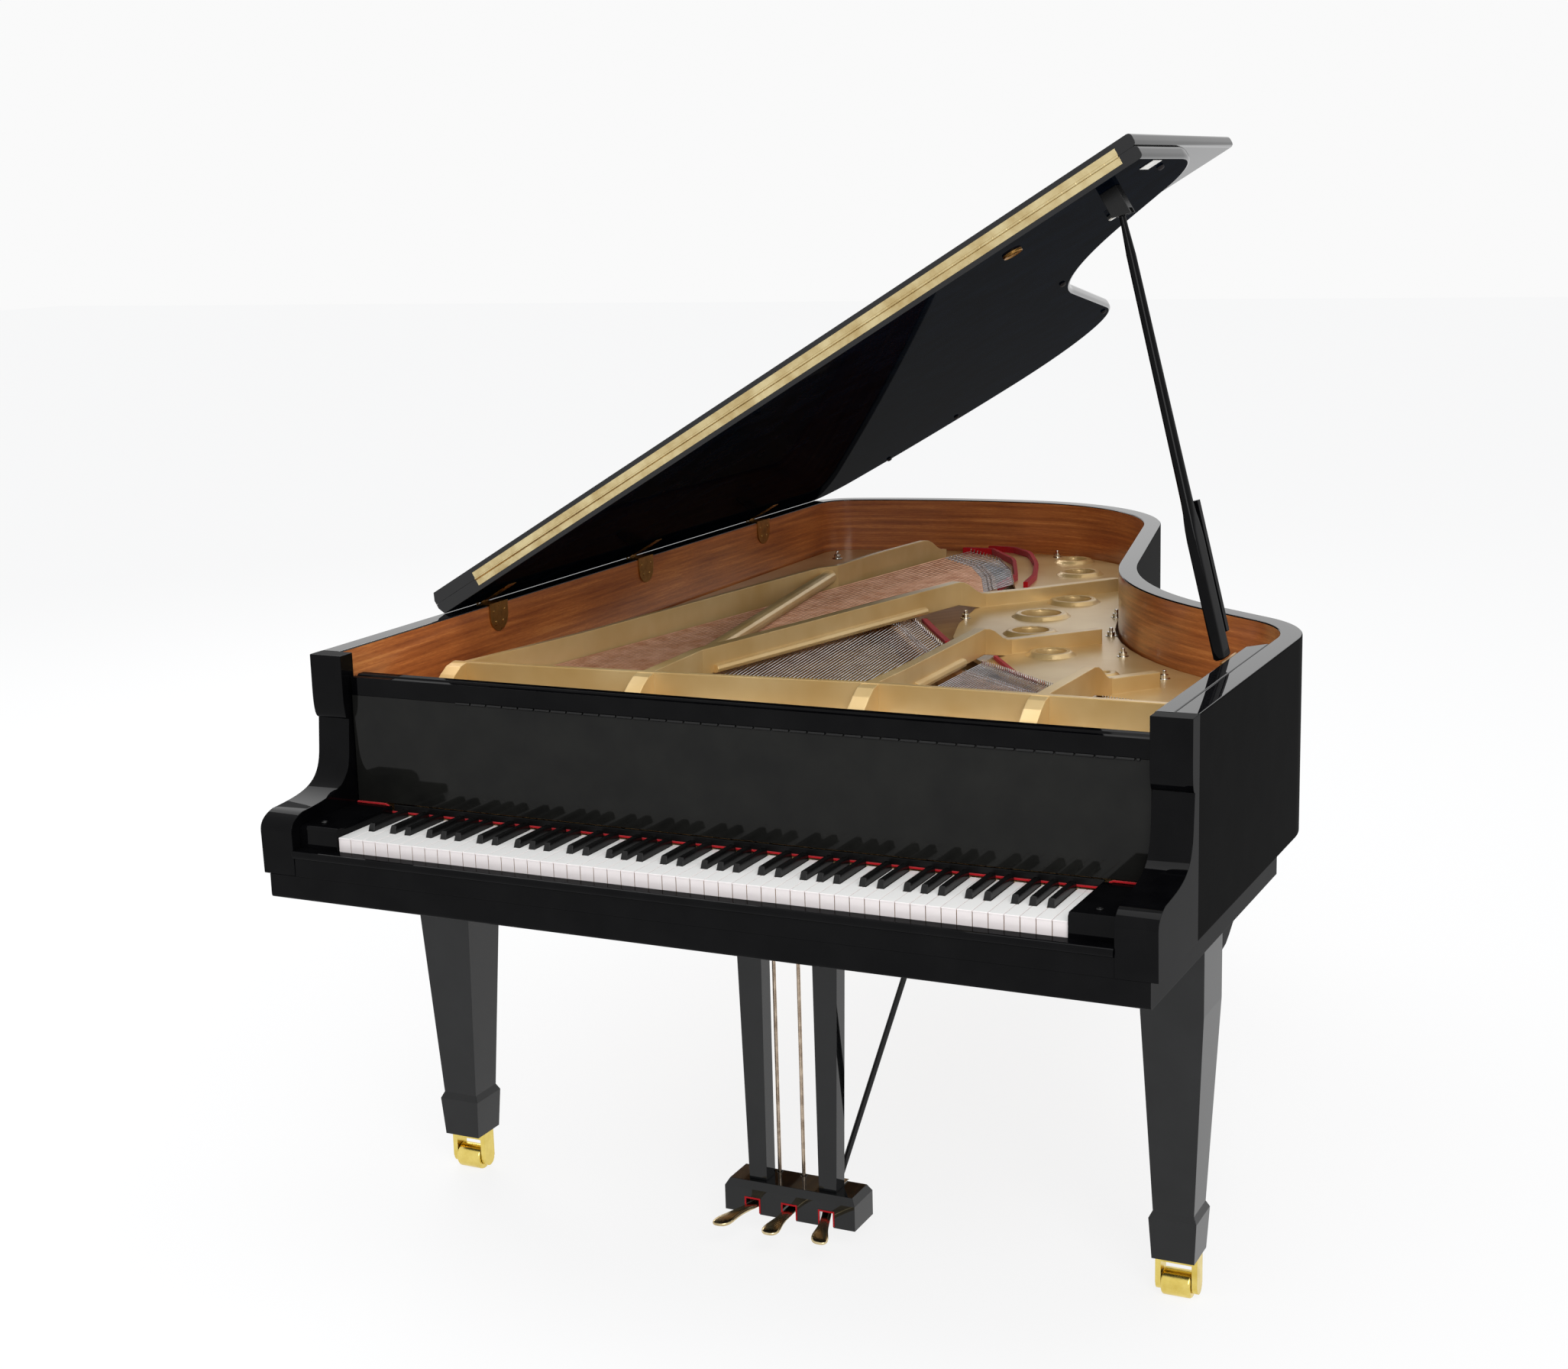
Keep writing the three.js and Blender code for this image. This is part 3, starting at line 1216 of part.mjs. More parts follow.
// Pedals: cross-sections from the rear end to the toe
const pedalStationShares = [
  { along: 0, width: 0.55, lift: 0, height: 1 },
  { along: 0.3, width: 0.55, lift: 0, height: 1 },
  { along: 0.62, width: 0.6, lift: 0, height: 1 },
  { along: 0.78, width: 0.8, lift: 0, height: 1.05 },
  { along: 0.9, width: 1, lift: -0.25, height: 1.15 },
  { along: 0.97, width: 0.8, lift: -0.35, height: 0.9 },
  { along: 1, width: 0.4, lift: -0.45, height: 0.4 },
];
function pedal(side) {
  const levels = pedalStationShares.map(({ along, width, lift, height }) => {
    const y = mix([pedalRearY, pedalTipY], along);
    const x = pedalX(side, y);
    const z = pedalZ + lift * pedalThickness;
    const halfWidth = width * pedalToeHalf;
    const halfHeight = (height * pedalThickness) / 2;
    const cut = halfHeight / 2;
    const outline = [
      point(x - halfWidth + cut, z - halfHeight),
      point(x + halfWidth - cut, z - halfHeight),
      point(x + halfWidth, z - halfHeight + cut),
      point(x + halfWidth, z + halfHeight - cut),
      point(x + halfWidth - cut, z + halfHeight),
      point(x - halfWidth + cut, z + halfHeight),
      point(x - halfWidth, z + halfHeight - cut),
      point(x - halfWidth, z - halfHeight + cut),
    ];
    return { outline, z: -y };
  });
  const geometry = stackGeometry(levels);
  geometry.rotateX(Math.PI / 2);
  const pinX = pedalX(side, pedalPivotY);
  const pinReach = slotHalf - seatGap;
  return solidOf(geometry).add(rod(new THREE.Vector3(pinX - pinReach, pedalPivotY, pedalZ),
    new THREE.Vector3(pinX + pinReach, pedalPivotY, pedalZ), pedalPinRadius));
}

// Each pedal lifts a rod that runs up into the keybed
const rodBottom = pedalZ + pedalThickness / 2 + seatGap;
[['left', -1], ['middle', 0], ['right', 1]].forEach(([place, side]) => {
  addMesh(piano, `pedal_${place}`, pedal(side), 'brass');
  const x = lyreX + side * rodSpacing;
  addMesh(piano, `pedal_rod_${place}`, rod(new THREE.Vector3(x, rodY, rodBottom),
    new THREE.Vector3(x, rodY, keybedBottom + rodEntry), rodRadius), 'copper');
});

const braceFoot = new THREE.Vector3(lyreX + braceFootX, postFront + postDepth + braceRadius * 2,
  lyreBoxTop + braceRadius / 2);
const braceHead = new THREE.Vector3(braceFoot.x + braceSpread, braceFoot.y + braceReach, keybedBottom - braceRadius / 2);
addMesh(piano, 'lyre_brace', rod(braceFoot, braceHead, braceRadius), 'satin');

// The origin is the middle of the underside of the whole piano
const bounds = new THREE.Box3().setFromObject(piano, true);
const middle = bounds.getCenter(new THREE.Vector3());
piano.position.set(-middle.x, -middle.y, -bounds.min.z);

export default piano;
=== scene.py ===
import math

import bmesh
import bpy
from mathutils import Matrix, Vector


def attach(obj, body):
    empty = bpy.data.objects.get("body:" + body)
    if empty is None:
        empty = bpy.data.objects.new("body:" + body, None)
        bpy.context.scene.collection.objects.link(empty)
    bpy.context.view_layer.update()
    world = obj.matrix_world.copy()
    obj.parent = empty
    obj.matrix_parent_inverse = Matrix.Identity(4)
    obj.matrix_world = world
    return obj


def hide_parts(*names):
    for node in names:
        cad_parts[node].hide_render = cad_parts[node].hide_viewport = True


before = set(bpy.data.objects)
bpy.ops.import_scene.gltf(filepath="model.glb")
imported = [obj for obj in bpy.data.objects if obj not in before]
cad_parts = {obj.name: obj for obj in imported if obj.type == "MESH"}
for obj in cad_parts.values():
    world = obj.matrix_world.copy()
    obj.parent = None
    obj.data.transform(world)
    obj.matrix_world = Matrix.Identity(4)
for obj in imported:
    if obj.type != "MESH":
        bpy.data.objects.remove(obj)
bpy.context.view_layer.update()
print("frame loaded:", len(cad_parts), "nodes")

# Sizes below are in mm, measured from the middle of the key fronts at floor level.
partShift = Vector((7.898169, -1104.042725, 0.0))


def place(x, y, z):
    return (Vector((x, y, z)) + partShift) / 1000  # metres in the part's own frame


# Camera

photoCamera = {
    "position": (1609.84, -2903.54, 1719.64),
    "azimuth": -26.067,  # degrees from +Y, towards +X
    "elevation": -12.1144,
    "roll": -1.6291,
    "focalPixels": 3037.8,
    "imageSize": (2053, 1792),
    "principalPoint": (1027.38, 903.76),
}


def makeCamera(setup):
    azimuth, elevation, roll = (math.radians(setup[name]) for name in ("azimuth", "elevation", "roll"))
    forward = Vector((math.sin(azimuth) * math.cos(elevation), math.cos(azimuth) * math.cos(elevation),
                      math.sin(elevation)))
    level = Vector((math.cos(azimuth), -math.sin(azimuth), 0))
    upright = level.cross(forward)
    right = level * math.cos(roll) + upright * math.sin(roll)
    up = upright * math.cos(roll) - level * math.sin(roll)
    width, height = setup["imageSize"]
    data = bpy.data.cameras.new("photoCamera")
    data.sensor_fit = "HORIZONTAL"
    data.sensor_width = 36
    data.lens = setup["focalPixels"] * data.sensor_width / width
    data.shift_x = (width / 2 - setup["principalPoint"][0]) / width
    data.shift_y = (setup["principalPoint"][1] - height / 2) / width
    data.clip_end = 100
    camera = bpy.data.objects.new("photoCamera", data)
    bpy.context.scene.collection.objects.link(camera)
    turn = Matrix((right, up, -forward)).transposed().to_4x4()
    camera.matrix_world = Matrix.Translation(place(*setup["position"])) @ turn
    bpy.context.scene.camera = camera


makeCamera(photoCamera)
bpy.context.scene.view_settings.view_transform = "Standard"
print("camera placed")

# Studio

studio = {
    "floorSize": 60,  # metres
    "paintColour": "f2f2f2",
    "fillColour": "f4f6fa",
    "fillStrength": 0.75,
    "seenWhite": 0.955,  # what the camera and reflections see behind the object; 1 is pure white
    "floorShare": 0.17,  # how much of the seen floor is paint in the light; the rest is plain white
    "softboxes": [  # position, target, size in metres, watts
        ((-3.4, 2.6, 4.2), (0, 0, 0.8), 3.2, 110),
        ((2.6, -4.2, 3.2), (0, -0.4, 0.8), 2.6, 115),
        ((0.4, -0.8, 5.0), (0, -0.2, 0.8), 3.0, 65),
    ],
}


def linear(hexText, alpha=1.0):  # sRGB hex to the linear colour a socket takes
    channels = [int(hexText[i:i + 2], 16) / 255 for i in (0, 2, 4)]
    return [c / 12.92 if c <= 0.04045 else ((c + 0.055) / 1.055) ** 2.4 for c in channels] + [alpha]


def addNode(tree, kind, inputs=None, **settings):  # one node with its settings, values and links
    node = tree.nodes.new(kind)
    for name, value in settings.items():
        setattr(node, name, value)
    for key, value in (inputs or {}).items():
        if isinstance(value, bpy.types.NodeSocket):
            tree.links.new(value, node.inputs[key])
        else:
            node.inputs[key].default_value = value
    return node


def seenShare(tree):  # 1 for what the camera, a reflection or glass sees, 0 for light on the object
    rays = addNode(tree, "ShaderNodeLightPath").outputs
    seen = rays["Is Camera Ray"]
    for other in ("Is Glossy Ray", "Is Transmission Ray"):
        seen = addNode(tree, "ShaderNodeMath", {0: seen, 1: rays[other]}, operation="MAXIMUM").outputs[0]
    return seen


def makeStudio(setup):
    world = bpy.data.worlds.new("studioWorld")
    world.use_nodes = True
    tree = world.node_tree
    tree.nodes.clear()
    fill = addNode(tree, "ShaderNodeBackground", {
        "Color": linear(setup["fillColour"]), "Strength": setup["fillStrength"]})
    white = addNode(tree, "ShaderNodeBackground", {
        "Color": linear("ffffff"), "Strength": setup["seenWhite"]})
    mixed = addNode(tree, "ShaderNodeMixShader", {
        0: seenShare(tree), 1: fill.outputs[0], 2: white.outputs[0]})
    addNode(tree, "ShaderNodeOutputWorld", {"Surface": mixed.outputs[0]})
    bpy.context.scene.world = world
    for i, (position, target, size, watts) in enumerate(setup["softboxes"]):
        data = bpy.data.lights.new(f"softbox{i}", "AREA")
        data.shape = "SQUARE"
        data.size = size
        data.energy = watts
        lamp = bpy.data.objects.new(f"softbox{i}", data)
        lamp.location = position
        lamp.rotation_euler = (Vector(target) - Vector(position)).to_track_quat("-Z", "Y").to_euler()
        bpy.context.scene.collection.objects.link(lamp)
    mesh = bpy.data.meshes.new("studioFloor")
    half = setup["floorSize"] / 2
    corners = [(-half, -half, 0), (half, -half, 0), (half, half, 0), (-half, half, 0)]
    mesh.from_pydata(corners, [], [(0, 1, 2, 3)])
    floor = bpy.data.objects.new("studioFloor", mesh)
    bpy.context.scene.collection.objects.link(floor)
    mesh.materials.append(makeFloorPaint(setup))


def makeFloorPaint(setup):  # matt white paint: keeps the object's shadow and otherwise reads as paper
    material = bpy.data.materials.new("mattWhitePaint")
    material.use_nodes = True
    tree = material.node_tree
    tree.nodes.clear()
    paint = addNode(tree, "ShaderNodeBsdfDiffuse", {"Color": linear(setup["paintColour"])})
    white = addNode(tree, "ShaderNodeEmission", {"Color": linear("ffffff"), "Strength": 1.0})
    paper = addNode(tree, "ShaderNodeMixShader", {
        0: setup["floorShare"], 1: white.outputs[0], 2: paint.outputs[0]})
    mixed = addNode(tree, "ShaderNodeMixShader", {
        0: seenShare(tree), 1: paint.outputs[0], 2: paper.outputs[0]})
    addNode(tree, "ShaderNodeOutputMaterial", {"Surface": mixed.outputs[0]})
    return material


makeStudio(studio)
print("studio lit")

# Materials

edgeRounding = 1.2  # mm, the eased edge of polished joinery, drawn by the shader on sharp edges


def startMaterial(name, **surface):  # a principled shader with its uniform values set on its own sockets
    material = bpy.data.materials.new(name)
    material.use_nodes = True
    tree = material.node_tree
    tree.nodes.clear()
    shader = addNode(tree, "ShaderNodeBsdfPrincipled", surface)
    addNode(tree, "ShaderNodeOutputMaterial", {"Surface": shader.outputs[0]})
    coordinates = addNode(tree, "ShaderNodeTexCoord")
    return material, tree, shader, coordinates.outputs["Object"]


def perMillimetre(size):  # texture scale for a feature of this size, on coordinates in metres
    return 1000 / size


def twoTone(tree, pattern, low, high, dark, light):  # from one tone to the other as a pattern rises
    share = addNode(tree, "ShaderNodeMapRange", {0: pattern, 1: low, 2: high})
    return addNode(tree, "ShaderNodeMix", {0: share.outputs[0], 6: linear(dark), 7: linear(light)},
                   data_type="RGBA").outputs[2]


def easeEdges(tree, shader, height=None, distance=0.02, strength=0.3, rounding=edgeRounding):
    normal = addNode(tree, "ShaderNodeBevel", {"Radius": rounding / 1000}, samples=4).outputs[0]
    if height is not None:
        normal = addNode(tree, "ShaderNodeBump", {"Height": height, "Distance": distance / 1000,
                                                 "Strength": strength, "Normal": normal}).outputs[0]
    tree.links.new(normal, shader.inputs["Normal"])
    return normal


def makePolyester(name, dark, light, coatWeight, coatRoughness, coatIor=1.5):
    # Black polyester, sprayed thick and buffed: near-black under a clear coat with a trace of orange peel.
    material, tree, shader, where = startMaterial(name, **{
        "Roughness": 0.5, "Specular IOR Level": 0.0, "Coat Weight": coatWeight,
        "Coat Roughness": coatRoughness, "Coat IOR": coatIor})
    depth = addNode(tree, "ShaderNodeTexNoise", {"Vector": where, "Scale": perMillimetre(60), "Detail": 3.0})
    tree.links.new(twoTone(tree, depth.outputs[0], 0.3, 0.75, dark, light), shader.inputs["Base Color"])
    peel = addNode(tree, "ShaderNodeTexNoise", {"Vector": where, "Scale": perMillimetre(9)})
    normal = easeEdges(tree, shader, peel.outputs[0], 0.015, 0.05)
    tree.links.new(normal, shader.inputs["Coat Normal"])
    return material


def makeWood(name, dark, light, grainSize, grainLength, axis, roughness=0.45, coat=0.0, angle=0.0):
    # Solid wood, planed: grain lines a few mm apart, drawn long along one axis, with a slow change of tone.
    material, tree, shader, where = startMaterial(name, **{
        "Roughness": roughness, "Coat Weight": coat, "Coat Roughness": 0.15})
    scale = [1.0, 1.0, 1.0]
    scale[axis] = grainSize / grainLength
    turned = addNode(tree, "ShaderNodeMapping", {"Vector": where, "Rotation": (0, 0, angle)})
    along = addNode(tree, "ShaderNodeMapping", {"Vector": turned.outputs[0], "Scale": scale})
    grain = addNode(tree, "ShaderNodeTexNoise", {
        "Vector": along.outputs[0], "Scale": perMillimetre(grainSize), "Detail": 4.0, "Roughness": 0.6})
    tone = addNode(tree, "ShaderNodeTexNoise", {
        "Vector": along.outputs[0], "Scale": perMillimetre(grainSize * 9)})
    mixed = addNode(tree, "ShaderNodeMix", {0: 0.35, 2: grain.outputs[0], 3: tone.outputs[0]})
    tree.links.new(twoTone(tree, mixed.outputs[0], 0.38, 0.62, dark, light), shader.inputs["Base Color"])
    easeEdges(tree, shader, grain.outputs[0], 0.08, 0.25, 0.8)
    return material


def makeVeneer():
    # Mahogany veneer, sliced and glued with its ribbon stripe level, clear lacquer over it.
    material, tree, shader = startMaterial("mahoganyVeneer", **{
        "Roughness": 0.32, "Coat Weight": 0.6, "Coat Roughness": 0.12, "Coat IOR": 1.45})[:3]
    uv = addNode(tree, "ShaderNodeUVMap", uv_map="alongRim").outputs[0]
    patterns = []
    for stretch, size, detail, rough in (((0.035, 1, 1), 9, 5.0, 0.62), ((0.09, 1, 1), 1.4, 3.0, 0.7),
                                         ((0.3, 0.25, 1), 70, 2.0, 0.5)):
        along = addNode(tree, "ShaderNodeMapping", {"Vector": uv, "Scale": stretch})
        patterns.append(addNode(tree, "ShaderNodeTexNoise", {
            "Vector": along.outputs[0], "Scale": perMillimetre(size), "Detail": detail,
            "Roughness": rough}).outputs[0])
    ribbon, flecks, sheen = patterns
    fine = addNode(tree, "ShaderNodeMix", {0: 0.3, 2: ribbon, 3: flecks})
    mixed = addNode(tree, "ShaderNodeMix", {0: 0.22, 2: fine.outputs[0], 3: sheen})
    base = twoTone(tree, mixed.outputs[0], 0.38, 0.6, "80401f", "c07036")
    pale = addNode(tree, "ShaderNodeMapRange", {0: mixed.outputs[0], 1: 0.54, 2: 0.68})
    colour = addNode(tree, "ShaderNodeMix", {0: pale.outputs[0], 6: base, 7: linear("cf8a4c")},
                     data_type="RGBA")
    tree.links.new(colour.outputs[2], shader.inputs["Base Color"])
    bump = addNode(tree, "ShaderNodeBump", {"Height": flecks, "Distance": 0.00003, "Strength": 0.2})
    tree.links.new(bump.outputs[0], shader.inputs["Normal"])
    return material


def makePlateGold():
    # Grey iron cast in sand, sprayed with bronze lacquer: faint grain, soft metallic sheen, gilt tone.
    material, tree, shader, where = startMaterial("bronzeLacqueredCastIron", **{
        "Metallic": 0.4, "Roughness": 0.34, "Coat Weight": 0.25, "Coat Roughness": 0.2, "Coat IOR": 1.45})
    cloud = addNode(tree, "ShaderNodeTexNoise", {"Vector": where, "Scale": perMillimetre(140), "Detail": 3.0})
    sand = addNode(tree, "ShaderNodeTexNoise", {"Vector": where, "Scale": perMillimetre(1.6), "Detail": 3.0,
                                               "Roughness": 0.7})
    tree.links.new(twoTone(tree, cloud.outputs[0], 0.3, 0.7, "d0ab6c", "e4c78f"), shader.inputs["Base Color"])
    easeEdges(tree, shader, sand.outputs[0], 0.12, 0.3, 2.6)
    return material


def makeMetal(name, colour, dark, roughness, patch=25, tarnish=0.5, rounding=0.5):
    # Drawn or cast metal, polished by hand: colour and gloss vary where fingers and polish have been.
    material, tree, shader, where = startMaterial(name, **{"Metallic": 1.0})
    patches = addNode(tree, "ShaderNodeTexNoise", {
        "Vector": where, "Scale": perMillimetre(patch), "Detail": 4.0, "Roughness": 0.6})
    fine = addNode(tree, "ShaderNodeTexNoise", {"Vector": where, "Scale": perMillimetre(1.2)})
    tone = twoTone(tree, patches.outputs[0], 0.5 - tarnish / 3, 0.5 + tarnish / 4, dark, colour)
    tree.links.new(tone, shader.inputs["Base Color"])
    gloss = addNode(tree, "ShaderNodeMapRange", {0: patches.outputs[0], 1: 0.3, 2: 0.7, 3: roughness * 1.5,
                                                4: roughness * 0.8})
    tree.links.new(gloss.outputs[0], shader.inputs["Roughness"])
    easeEdges(tree, shader, fine.outputs[0], 0.02, 0.15, rounding)
    return material


def makeKeyPlastic(name, top, front, roughness):
    # Moulded acrylic key cover, buffed: even and slightly warm; the fronts are a touch darker and pinker than
    # the tops, painted shade by facing.
    material, tree, shader, where = startMaterial(name, **{
        "Roughness": roughness, "IOR": 1.49, "Coat Weight": 0.2, "Coat Roughness": 0.08})
    facing = addNode(tree, "ShaderNodeNewGeometry").outputs["Normal"]
    upward = addNode(tree, "ShaderNodeSeparateXYZ", {0: facing}).outputs[2]
    cloud = addNode(tree, "ShaderNodeTexNoise", {"Vector": where, "Scale": perMillimetre(45)})
    # tone follows the normal: tops take the top colour, fronts the darker, pinker front colour (painted
    # shade), with a random cloud
    cloudAndPaintedShade = addNode(tree, "ShaderNodeMath", {0: cloud.outputs[0], 1: 0.15, 2: upward},
                     operation="MULTIPLY_ADD")
    tree.links.new(twoTone(tree, cloudAndPaintedShade.outputs[0], 0.25, 0.8, front, top), shader.inputs["Base Color"])
    haze = addNode(tree, "ShaderNodeTexNoise", {"Vector": where, "Scale": perMillimetre(3)})
    easeEdges(tree, shader, haze.outputs[0], 0.01, 0.1, 0.4)
    return material


def makeFelt(name, colour, dark):
    # Pressed wool felt: no gloss, a soft fuzz and a fine uneven nap.
    material, tree, shader, where = startMaterial(name, **{
        "Roughness": 0.95, "Sheen Weight": 0.1, "Sheen Roughness": 0.6, "Specular IOR Level": 0.1})
    nap = addNode(tree, "ShaderNodeTexNoise", {"Vector": where, "Scale": perMillimetre(0.9), "Detail": 4.0,
                                              "Roughness": 0.7})
    tree.links.new(twoTone(tree, nap.outputs[0], 0.35, 0.65, dark, colour), shader.inputs["Base Color"])
    bump = addNode(tree, "ShaderNodeBump", {"Height": nap.outputs[0], "Distance": 0.0003, "Strength": 0.6})
    tree.links.new(bump.outputs[0], shader.inputs["Normal"])
    return material


def makeWinding():
    # Copper wire wound on a steel core: tight turns, drawn coarser than the real 0.3 mm so that they show.
    material, tree, shader, where = startMaterial("copperWinding", **{"Metallic": 0.7, "Roughness": 0.34})
    turns = addNode(tree, "ShaderNodeTexWave", {"Vector": where, "Scale": perMillimetre(1.6) / (2 * math.pi),
                                               "Distortion": 0.0}, bands_direction="Y")
    tone = addNode(tree, "ShaderNodeTexNoise", {"Vector": where, "Scale": perMillimetre(30), "Detail": 3.0})
    tree.links.new(twoTone(tree, tone.outputs[0], 0.3, 0.7, "cd8f68", "efbd9a"), shader.inputs["Base Color"])
    bump = addNode(tree, "ShaderNodeBump", {
        "Height": turns.outputs["Fac"], "Distance": 0.0003, "Strength": 0.5})
    tree.links.new(bump.outputs[0], shader.inputs["Normal"])
    return material


# The black polyester comes as lit and shaded copies of one finish: painted light and painted shade
finish = {
    "polyester": makePolyester("blackPolyester", "030304", "09090a", 0.18, 0.02),
    # darker copy of the black polyester for the rim's outer face: painted shade
    "shadedRimPolyester": makePolyester("shadedRimPolyester", "020202", "060606", 0.05, 0.02),
    # brighter copy with a stronger coat for the tops of rim, lid and flap and the treble cheek: painted light
    "litPolyester": makePolyester("paintedLightBlackPolyester", "08080a", "101012", 0.9, 0.02),
    # darker, navy-tinted copy for the lid's underside: painted shade and a painted navy reflection
    "shadedUnderLid": makePolyester("lidUndersidePaintedShadeAndReflection", "03060c", "080f1a", 0.03, 0.02, 1.35),
    # lighter copy for the fallboard: painted light from the front
    "litFallboardPolyester": makePolyester("paintedLightFallboardLacquer", "141413", "1b1b19", 0.3, 0.05),
    # lighter copy with a stronger coat for legs and lyre: painted light from the front
    "litStandPolyester": makePolyester("paintedLightStandPolyester", "0a0b0c", "131415", 0.75, 0.03),
    "underLacquer": makePolyester("satinBlackLacquer", "0c0c0c", "161616", 0.3, 0.3),
    "maple": makeWood("laminatedMaple", "9c6f41", "c79a66", 3, 160, 1),
    "spruceBoard": makeWood("spruceSoundboard", "9c7242", "c19a5f", 2.2, 400, 1, 0.35, 0.4, math.radians(38)),
    "spruceBeam": makeWood("spruceBeam", "8d6a3e", "b98f58", 3, 300, 1),
    "keyWood": makeWood("limeKeyWood", "b08c5c", "d2b27e", 2.5, 200, 1),
    "beech": makeWood("beechBridge", "8a5a30", "b9854f", 2, 120, 1, 0.4),
    "veneer": makeVeneer(),
    "gold": makePlateGold(),
    "copper": makeWinding(),
    "steel": makeMetal("springSteelWire", "d8d8da", "a8a8ac", 0.22),
    "rodSteel": makeMetal("lacqueredSteelRod", "cdbba6", "94806e", 0.22),
    "nickel": makeMetal("nickelPlate", "dcdad4", "b4b1a9", 0.14),
    "hingeBrass": makeMetal("agedBrass", "bd9150", "7d5729", 0.3, 30, 0.6),
    "paleBrass": makeMetal("polishedBrass", "dccb9c", "bfa876", 0.22, 40, 0.5),
    "casterBrass": makeMetal("lacqueredBrass", "eed87e", "d6bb58", 0.2, 30, 0.8),
    "pedalBrass": makeMetal("wornPedalBrass", "e0cfa6", "a38f68", 0.2, 28, 0.7),
    # the fronts' darker, pinker colour is painted shade
    "white": makeKeyPlastic("acrylicNatural", "f3f2ef", "f2eae8", 0.2),
    "black": makePolyester("ebonySharp", "0a0a0a", "131313", 0.6, 0.2),
    "redFelt": makeFelt("redFelt", "c8101c", "8a0a12"),
    "darkFelt": makeFelt("darkFelt", "3a3636", "171515"),
    "blackMetal": makePolyester("blackPaintedSteel", "0b0b0b", "141414", 0.6, 0.25),
}
print("materials made:", len(finish))

nodeFinish = {
    "polyester": ["keybed", "key_slip", "key_block_bass", "key_block_treble", "fallboard_lip", "stretcher",
                  "short_prop"],
    "litFallboardPolyester": ["fallboard"],
    "litStandPolyester": ["leg_bass", "leg_treble", "leg_rear", "lyre_head", "lyre_post_bass", "lyre_post_treble",
                     "lyre_box"],
    "blackMetal": ["prop_cup", "lyre_brace"],
    "maple": ["inner_rim", "pin_block", "action"],
    "spruceBoard": ["soundboard"],
    "spruceBeam": ["bottom_braces"],
    "gold": ["iron_plate"],
    "rodSteel": ["pedal_rod_left", "pedal_rod_middle", "pedal_rod_right"],
    "hingeBrass": ["lid_hinge_front", "lid_hinge_middle", "lid_hinge_rear", "prop_hinge"],
    "casterBrass": ["caster_fork_bass", "caster_fork_treble", "caster_fork_rear"],
}


def dressNodes(table):
    for name, nodes in table.items():
        for node in nodes:
            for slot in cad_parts[node].material_slots:
                slot.material = finish[name]


dressNodes(nodeFinish)
print("CAD nodes dressed")

# How pieces are made


def shrunk(outline, distance):  # an outline in plan, moved inwards by a distance
    following = outline[1:] + outline[:1]
    area = sum(x0 * y1 - x1 * y0 for (x0, y0), (x1, y1) in zip(outline, following))
    side = math.copysign(distance, distance * area)
    result = []
    for before, here, after in zip(outline[-1:] + outline[:-1], outline, following):
        incoming = (Vector(here) - Vector(before)).normalized()
        outgoing = (Vector(after) - Vector(here)).normalized()
        bisector = (incoming + outgoing).normalized()
        reach = side / max(bisector.dot(incoming), 0.3)
        result.append((here[0] - bisector.y * reach, here[1] + bisector.x * reach))
    return result


def easedLevels(bottom, top, ease, steps=3):  # (inset, height) pairs of a board with rounded edges
    turns = [math.pi / 2 * i / steps for i in range(steps + 1)]
    low = [(ease * (1 - math.sin(turn)), bottom + ease * (1 - math.cos(turn))) for turn in turns]
    return low + [(inset, bottom + top - height) for inset, height in reversed(low)]


def skin(bm, loops, at=place, coats=None, coat=0, ring=False):  # a closed skin over loops of equal count
    rows = [[bm.verts.new(at(*spot)) for spot in loop] for loop in loops]
    count = len(rows[0])
    for here, there in list(zip(rows, rows[1:])) + ([(rows[-1], rows[0])] if ring else []):
        for i in range(count):
            face = bm.faces.new((here[i], here[(i + 1) % count], there[(i + 1) % count], there[i]))
            face.material_index = coats[i] if coats else coat
    caps = [] if ring else [bm.faces.new(rows[0]), bm.faces.new(rows[-1])]
    for cap in caps:
        cap.material_index = coat
    return rows, caps


def easedBoard(bm, outline, bottom, top, ease, at=place, coat=0, steps=3):
    levels = easedLevels(bottom, top, ease, steps)
    skin(bm, [[(x, y, z) for x, y in shrunk(outline, inset)] for inset, z in levels], at, coat=coat)


def rectangle(left, right, front, back):
    return [(left, front), (right, front), (right, back), (left, back)]


def easedBox(bm, box, ease, at=place, coat=0):  # a box is left, right, front, back, bottom and top
    easedBoard(bm, rectangle(*box[:4]), *box[4:], ease, at, coat, steps=1)


def circle(count, radius=1.0, shift=0.0):  # points round a circle, counter-clockwise
    turns = [2 * math.pi * (i + shift) / count for i in range(count)]
    return [(radius * math.cos(turn), radius * math.sin(turn)) for turn in turns]


def squareOff(value, power):  # bends a cosine or sine, so that a round section gets squarer corners
    return math.copysign(abs(value) ** power, value)


def turned(bm, profile, at, sides=24, coat=0, ring=False):  # turned on an axis: radius, height
    skin(bm, [[(x, y, height) for x, y in circle(sides, radius)] for radius, height in profile], at,
         coat=coat, ring=ring)


def knuckles(left, right, length):  # from and to of each knuckle of a hinge, the last one shorter
    starts = [left + length * i for i in range(math.ceil((right - left) / length))]
    return list(zip(starts, starts[1:] + [right]))


def knuckleStations(start, end, radius, groove):  # places and radii of a knuckle with narrower ends
    edge, shoulder, share = groove
    return [(start + edge, radius * share), (start + shoulder, radius), (end - shoulder, radius),
            (end - edge, radius * share)]


def settle(piece):  # the evaluated mesh takes the place of the modifiers
    evaluated = piece.evaluated_get(bpy.context.evaluated_depsgraph_get())
    mesh = bpy.data.meshes.new_from_object(evaluated)
    piece.modifiers.clear()
    piece.data = mesh


def addPiece(name, bm, coats, body, stands=(), bevel=0.0, subdivide=0, smooth=32):
    bmesh.ops.recalc_face_normals(bm, faces=bm.faces)
    mesh = bpy.data.meshes.new(name)
    bm.to_mesh(mesh)
    bm.free()
    for coat in coats:
        mesh.materials.append(finish[coat])
    return finishPiece(name, mesh, body, stands, bevel, subdivide, smooth)


